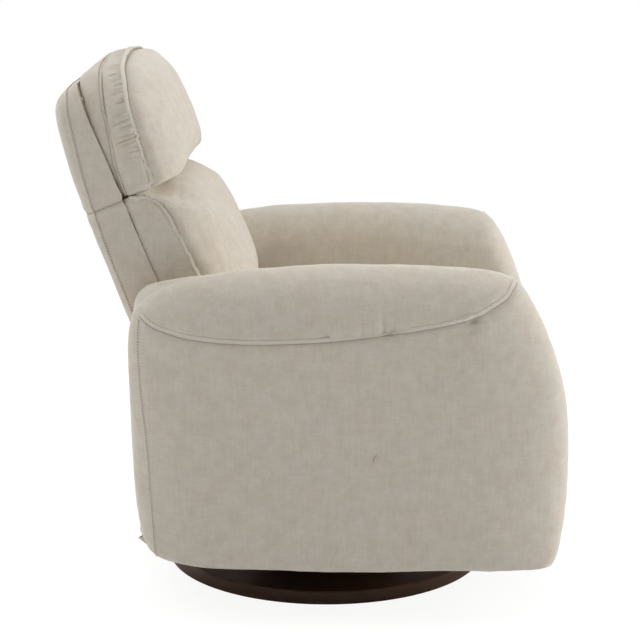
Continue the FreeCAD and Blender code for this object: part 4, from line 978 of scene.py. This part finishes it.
def seam_round(skin, name, place, insets, depth_at, form, width, height, rows):
    """Welt and topstitching round a boxed cushion, from foot to foot over its top."""
    side_in, low_in, high_in = insets(0.02)
    loop = rounded_rectangle(form["half"] - side_in, form["low"] + low_in, form["high"] - high_in,
                             form["corners"], (140, 160, 30))
    keep = np.abs(loop[:, 0]) > form["half"] * 0.35
    keep |= loop[:, 1] > form["low"] + 0.05
    start = int(np.argmax(keep))
    run = loop[start:start + int(keep.sum())]
    flat = place(run[:, 0], depth_at(run[:, 1]), run[:, 1])
    path, normals = on_surface(skin, spaced(flat, 0.004))
    ribbon(name, path, normals, width, height, seam_nap_painted_highlight, "back")
    across = np.cross(normals, directions(path))
    for index, row in enumerate(rows):
        row_path = path + across * row * width + normals * 0.0004
        stitches("%s_stitches_%d" % (name, index), row_path, normals, "back")


class RECLINER_OT_pillow(bpy.types.Operator):
    """Upholster the head pillow, with its gathered side band"""

    bl_idname = "recliner.pillow"
    bl_label = "Head pillow"

    def execute(self, context):
        make_pillow()
        return {"FINISHED"}


LUMBAR = {"half": 0.2595, "low": 0.104, "high": 0.3870, "corners": (0.020, 0.009)}
LUMBAR_FACE = 0.1275
LUMBAR_REAR = -0.0045


def place_lumbar(across, depth, up):
    """Lumbar depths run forward from the shell. Its top falls away to the sides towards the face."""
    share = np.clip((up - 0.22) / 0.16, 0, 1) * np.clip((depth - 0.02) / 0.05, 0, 1)
    drop = 0.042 * (across / LUMBAR["half"]) ** 2 * share
    rim = RIM_GAP * rim_share(across, 0.0) * np.clip((0.004 - depth) / 0.0085, 0, 1)
    return leaning(np.stack([across, rim - depth, up - drop], 1))


def lumbar_insets(depth):
    return (bulge(depth, 0.042, LUMBAR_FACE, 0.225, 2.05), bulge(depth, 0.090, LUMBAR_FACE, 0.040),
            bulge(depth, 0.052, LUMBAR_FACE, 0.150, 1.7))


def lumbar_welt(up):
    """Depth of the welt at a height: it curves back under the pillow at the top."""
    return np.interp(up, (0.10, 0.203, 0.234, 0.273, 0.3105, 0.344, 0.368, 0.3746, 0.378, 0.381, 0.387),
                     (0.057, 0.0567, 0.0527, 0.0506, 0.0462, 0.0445, 0.0385, 0.031, 0.015, 0.004, 0.000))


def lumbar_details(points):
    """Seam drawn in at the welt, padding beside it, and the small wrinkles at the top corners."""
    local = into_back(points)
    forward = -local[:, 1]
    fall = 0.2625 * (local[:, 0] / LUMBAR["half"]) ** 2 * np.clip((forward - 0.02) / 0.05, 0, 1)
    up = np.where(local[:, 2] > 0.22, (local[:, 2] - 0.22 * fall) / (1 - fall), local[:, 2])
    welt = lumbar_welt(up)
    amount = -0.0028 * np.exp(-((forward - welt) / 0.0045) ** 2)
    amount += 0.0026 * np.exp(-((forward - welt - 0.016) / 0.012) ** 2)
    amount += 0.0014 * ripple(points, 0.15, 7, 2) + 0.0003 * ripple(points, 0.045, 8, 2)
    random = np.random.default_rng(31)
    top = np.clip((up - 0.335) / 0.03, 0, 1)
    side = np.clip((np.abs(local[:, 0]) - 0.15) / 0.05, 0, 1)
    for _wrinkle in range(8):
        place = random.uniform(0.050, 0.088)
        width = random.uniform(0.002, 0.004)
        deep = random.uniform(0.0008, 0.0018)
        slant = random.uniform(0.5, 1.1)
        across = forward - place - slant * (0.385 - up)
        amount -= deep * top * side * np.exp(-(across / width) ** 2)
    return amount


def make_lumbar():
    depths = np.concatenate([np.linspace(LUMBAR_REAR, 0.065, 26)[:-1], eased(34, 0.065, LUMBAR_FACE - 0.0003)])
    form = (*LUMBAR.values(), lumbar_insets, place_lumbar)
    lumbar = upholster("lumbar_cover", depths, form, (80, 110, 12), 12, lumbar_details,
                       "back", "lumbar_cushion", (0.003, padded_front))
    seam_round(skin_of(lumbar), "lumbar_welt", place_lumbar, lumbar_insets, lumbar_welt, LUMBAR, 0.0075, 0.0024,
               (0.62,))


class RECLINER_OT_lumbar(bpy.types.Operator):
    """Upholster the lumbar cushion"""

    bl_idname = "recliner.lumbar"
    bl_label = "Lumbar cushion"

    def execute(self, context):
        make_lumbar()
        return {"FINISHED"}


SHELL = {"half": 0.262, "low": 0.031, "high": 0.612, "corners": (0.060, 0.045)}
SHELL_FRONT = 0.0055
SHELL_REAR = 0.108
# The level seam runs where the pillow and the lumbar cushion meet
LEVEL_SEAM = 0.3855


def place_shell(across, depth, up):
    """Shell depths run rearward. Its rear leans in towards the top."""
    share = np.clip((depth - SHELL_FRONT) / (SHELL_REAR - SHELL_FRONT), 0, 1)
    taper = np.interp(up, [0.03, 0.33, 0.45, 0.53, 0.60], [0.006, 0.0075, 0.0145, 0.0235, 0.028])
    crown = 0.006 * (across / SHELL["half"]) ** 2 * np.clip((up - 0.45) / 0.15, 0, 1)
    rim = RIM_GAP * rim_share(across, up) * np.clip((0.0255 - depth) / 0.02, 0, 1)
    return leaning(np.stack([across, depth + rim - taper * share, up - crown], 1))


def shell_insets(depth):
    return (bulge(depth, 0.076, SHELL_REAR, 0.026), bulge(depth, 0.080, SHELL_REAR, 0.024),
            bulge(depth, 0.030, SHELL_REAR, 0.050, 2.3))


def shell_seam(up):
    return np.interp(up, (0.03, 0.28, 0.379, 0.436, 0.51, 0.57, 0.612),
                     (0.097, 0.097, 0.0905, 0.087, 0.080, 0.071, 0.058))


def shell_details(points):
    """Soft hollows, and the cloth drawn in at the level seam and padded beside it."""
    local = into_back(points)
    from_seam = local[:, 2] - LEVEL_SEAM
    rear = np.clip((local[:, 1] - 0.006) / 0.01, 0, 1)
    amount = 0.0013 * ripple(points, 0.2, 9, 2)
    amount -= 0.0026 * rear * np.exp(-(from_seam / 0.0045) ** 2)
    amount += 0.0014 * rear * np.exp(-((np.abs(from_seam) - 0.014) / 0.010) ** 2)
    return amount


def make_shell():
    depths = np.concatenate([np.linspace(SHELL_FRONT, 0.026, 8)[:-1], np.linspace(0.026, 0.07, 12)[:-1],
                             eased(24, 0.07, SHELL_REAR - 0.0002)])
    form = (*SHELL.values(), shell_insets, place_shell)
    shell = upholster("back_shell_cover", depths, form, (80, 200, 18), 36, shell_details,
                      "back", "back_shell")
    skin = skin_of(shell)
    seam_round(skin, "back_shell_seam", place_shell, shell_insets, shell_seam, SHELL, 0.0030, 0.0009, (1.4,))
    level_seam(skin)


def level_seam(skin):
    """Plain seam across the shell at the height of the split between the cushions."""
    keys = np.array([(-0.2615, 0.020), (-0.2615, 0.075), (-0.236, 0.106), (0.0, 0.108), (0.236, 0.106),
                     (0.2615, 0.075), (0.2615, 0.020)])
    keys = np.column_stack([keys, np.full(len(keys), LEVEL_SEAM)])
    flat = np.vstack([np.linspace(a, b, 30, endpoint=False) for a, b in zip(keys, keys[1:])])
    path, normals = on_surface(skin, leaning(flat))
    ribbon("back_shell_level_seam", path, normals, 0.0022, 0.0005, chenille, "back")
    stitches("back_shell_level_stitches", path + normals * 0.0005, normals, "back")


class RECLINER_OT_shell(bpy.types.Operator):
    """Upholster the outer back"""

    bl_idname = "recliner.shell"
    bl_label = "Back shell"

    def execute(self, context):
        make_shell()
        return {"FINISHED"}


# Tub rear, seat and footrest


def make_tub_rear():
    low_corner, high_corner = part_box("tub_rear_panel")
    half = 0.267
    front = low_corner.y + 0.0003
    reach = high_corner.y - front

    def place(across, depth, up):
        bow = 0.036 * (across / half) ** 2
        tuck = np.interp(up, (0.104, 0.14, 0.19, 0.24, 0.34), (0.014, 0.011, 0.007, 0.005, 0.003))
        return np.stack([across, front + depth - (bow + tuck) * np.clip(depth / reach, 0, 1), up], 1)

    def insets(depth):
        return 0.0, bulge(depth, reach - 0.028, reach, 0.034), bulge(depth, reach - 0.026, reach, 0.022)

    depths = np.concatenate([np.linspace(0, reach - 0.03, 6)[:-1], eased(16, reach - 0.03, reach - 0.0003)])
    form = (half, low_corner.z, high_corner.z, (0.006, 0.004), insets, place)
    upholster("tub_rear_cover", depths, form, (80, 40, 8), 12, lambda points: 0.0012 * ripple(points, 0.18, 12, 2),
              "carriage", "tub_rear_panel")


class RECLINER_OT_tub_rear(bpy.types.Operator):
    """Upholster the rear panel of the tub"""

    bl_idname = "recliner.tub_rear"
    bl_label = "Tub rear panel"

    def execute(self, context):
        make_tub_rear()
        return {"FINISHED"}


def make_seat():
    low_corner, high_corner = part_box("seat_cushion")
    half = high_corner.x - 0.001
    front, rear = low_corner.y + 0.002, high_corner.y
    floor, top = low_corner.z, high_corner.z
    tall = top - floor

    def place(across, height, along):
        share = np.clip(height / tall, 0, 1)
        crown = 0.012 * np.clip(1 - (across / half) ** 2, 0, 1) * share ** 2
        return np.stack([across, along, floor + height + crown - 0.012 * share], 1)

    def insets(height):
        side = bulge(height, tall * 0.62, tall, 0.060) + bulge(tall - height, tall * 0.75, tall, 0.010)
        fore = bulge(height, tall * 0.45, tall, 0.085) + bulge(tall - height, tall * 0.75, tall, 0.014)
        return side, fore, bulge(height, tall * 0.70, tall, 0.050)

    heights = np.concatenate([np.linspace(0, tall * 0.45, 10)[:-1], eased(26, tall * 0.45, tall - 0.0003)])
    form = (half, front, rear, (0.035, 0.035), insets, place)
    upholster("seat_cover", heights, form, (80, 80, 10), 14,
              lambda points: 0.0018 * ripple(points, 0.15, 14, 2) - 0.001, "seat", "seat_cushion",
              (0.004, lambda points: np.clip((points[:, 2] - floor - 0.05) / 0.04, 0, 1)))


class RECLINER_OT_seat(bpy.types.Operator):
    """Upholster the seat cushion"""

    bl_idname = "recliner.seat"
    bl_label = "Seat cushion"

    def execute(self, context):
        make_seat()
        return {"FINISHED"}


def make_footrest():
    low_corner, high_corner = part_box("footrest_pad")
    half = high_corner.x
    rear, face = high_corner.y, low_corner.y
    reach = rear - face

    def place(across, depth, up):
        return np.stack([across, rear - depth, up], 1)

    def insets(depth):
        edge = reach * 0.35
        return bulge(depth, edge, reach, 0.030), bulge(depth, edge, reach, 0.026), bulge(depth, edge, reach, 0.026)

    depths = np.concatenate([np.linspace(0, reach * 0.35, 5)[:-1], eased(20, reach * 0.35, reach - 0.0002)])
    form = (half, low_corner.z, high_corner.z, (0.022, 0.022), insets, place)
    upholster("footrest_cover", depths, form, (80, 44, 10), 14,
              lambda points: 0.0010 * ripple(points, 0.12, 15, 2) - 0.0008, "footrest", "footrest_pad",
              (0.002, lambda points: np.clip((rear - 0.012 - points[:, 1]) / 0.012, 0, 1)))


class RECLINER_OT_footrest(bpy.types.Operator):
    """Upholster the footrest pad"""

    bl_idname = "recliner.footrest"
    bl_label = "Footrest pad"

    def execute(self, context):
        make_footrest()
        return {"FINISHED"}


# Finishes of the frame and mechanism

SLOT_FINISHES = {
    "wood_base": stained_walnut,
    "frame_wood": birch_plywood,
    "webbing": elastic_webbing,
    "black_steel": powder_coat,
    "zinc_steel": zinc_plate,
    "nylon": moulded_nylon,
    "release_plastic": moulded_lever,
}


def finish_nodes():
    """Give every solid that still shows the finish of its slot."""
    for part in frame["record"]["subparts"]:
        maker = SLOT_FINISHES.get(part["material_slot"])
        if maker is None:
            continue
        solid = frame["nodes"][part["node"]]
        material = shared(maker)
        if not solid.data.materials:
            solid.data.materials.append(material)
        for index in range(len(solid.data.materials)):
            solid.data.materials[index] = material


class RECLINER_OT_finishes(bpy.types.Operator):
    """Finish the wood, steel and plastic of the base, glide and mechanism"""

    bl_idname = "recliner.finishes"
    bl_label = "Frame finishes"

    def execute(self, context):
        finish_nodes()
        return {"FINISHED"}


# Stage

CAMERA_PLACE = (-3.5101, -0.0470, 1.2656)
CAMERA_TURN = math.radians(0.97)
CAMERA_PITCH = math.radians(12.74)
CAMERA_LENS = 102.6


def soft_light(name, place, target, width, height, power, colour="#FFFFFF"):
    data = bpy.data.lights.new(name, "AREA")
    data.shape = "RECTANGLE"
    data.size = width
    data.size_y = height
    data.energy = power
    data.color = linear(colour)[:3]
    lamp = bpy.data.objects.new(name, data)
    bpy.context.scene.collection.objects.link(lamp)
    lamp.location = place
    aim = Vector(target) - Vector(place)
    lamp.rotation_euler = aim.to_track_quat("-Z", "Y").to_euler()


def light_tent(strength):
    """White light from above, ahead and behind, dim on the camera's side, seen as plain white."""
    world = bpy.data.worlds.new("white_studio")
    world.use_nodes = True
    tree = world.node_tree
    tree.nodes.clear()
    seen = add_node(tree, "LightPath").outputs["Is Camera Ray"]
    way = add_node(tree, "TexCoord").outputs["Generated"]
    parts = add_node(tree, "SeparateXYZ", links={"Vector": way})
    dim = add_node(tree, "MapRange", settings={"interpolation_type": "SMOOTHSTEP"},
                   inputs={"From Min": -0.76, "From Max": 0.15, "To Min": 0.0, "To Max": strength},
                   links={"Value": parts.outputs["X"]})
    light = add_node(tree, "Background", inputs={"Color": WHITE}, links={"Strength": dim})
    backdrop = add_node(tree, "Background", inputs={"Color": WHITE, "Strength": 1.0})
    both = add_node(tree, "MixShader", links={0: seen, 1: light, 2: backdrop})
    add_node(tree, "OutputWorld", links={"Surface": both})
    bpy.context.scene.world = world


def make_stage():
    floor = mesh_object("studio_floor", [(-12, -12, 0), (12, -12, 0), (12, 12, 0), (-12, 12, 0)],
                        [(0, 1, 2, 3)], shared(paper_sweep), smooth=False)
    floor.location.z = -0.0005
    light_tent(0.94)
    soft_light("front_softbox", (-0.5, -3.3, 1.5), (0, 0, 0.5), 2.0, 1.8, 40)
    soft_light("rear_softbox", (-1.0, 2.0, 2.8), (0, 0.2, 0.6), 1.6, 1.6, 17)
    soft_light("key_softbox", (-1.7, 0.2, 2.7), (0, 0, 0.5), 1.6, 1.6, 4)
    bpy.context.scene.view_settings.view_transform = "Standard"
    data = bpy.data.cameras.new("camera")
    data.lens = CAMERA_LENS
    data.sensor_width = 36
    camera = bpy.data.objects.new("camera", data)
    bpy.context.scene.collection.objects.link(camera)
    camera.location = CAMERA_PLACE
    look = Vector((math.cos(CAMERA_PITCH) * math.cos(CAMERA_TURN), math.cos(CAMERA_PITCH) * math.sin(CAMERA_TURN),
                   -math.sin(CAMERA_PITCH)))
    camera.rotation_euler = look.to_track_quat("-Z", "Y").to_euler()
    bpy.context.scene.camera = camera


class RECLINER_OT_stage(bpy.types.Operator):
    """Set up the floor, the studio light and the camera"""

    bl_idname = "recliner.stage"
    bl_label = "Stage"

    def execute(self, context):
        make_stage()
        return {"FINISHED"}


class RECLINER_PT_panel(bpy.types.Panel):
    """Sidebar panel with every piece of the recliner"""

    bl_label = "Recliner"
    bl_idname = "RECLINER_PT_panel"
    bl_space_type = "VIEW_3D"
    bl_region_type = "UI"
    bl_category = "Recliner"

    def draw(self, context):
        for group in (context.scene.recliner_cloth, context.scene.recliner_sizes):
            for name in group.__annotations__:
                self.layout.prop(group, name)
        for operator in OPERATORS:
            self.layout.operator(operator.bl_idname)


OPERATORS = (
    RECLINER_OT_arms,
    RECLINER_OT_tub_rear,
    RECLINER_OT_seat,
    RECLINER_OT_shell,
    RECLINER_OT_lumbar,
    RECLINER_OT_pillow,
    RECLINER_OT_footrest,
    RECLINER_OT_finishes,
    RECLINER_OT_stage,
)
CLASSES = (RECLINER_PG_cloth, RECLINER_PG_sizes) + OPERATORS + (RECLINER_PT_panel,)


def register():
    for item in CLASSES:
        bpy.utils.register_class(item)
    bpy.types.Scene.recliner_cloth = bpy.props.PointerProperty(type=RECLINER_PG_cloth)
    bpy.types.Scene.recliner_sizes = bpy.props.PointerProperty(type=RECLINER_PG_sizes)


def unregister():
    del bpy.types.Scene.recliner_sizes
    del bpy.types.Scene.recliner_cloth
    for item in reversed(CLASSES):
        bpy.utils.unregister_class(item)


def main():
    register()
    for operator in OPERATORS:
        group, name = operator.bl_idname.split(".")
        getattr(getattr(bpy.ops, group), name)()


if __name__ == "__main__":
    main()
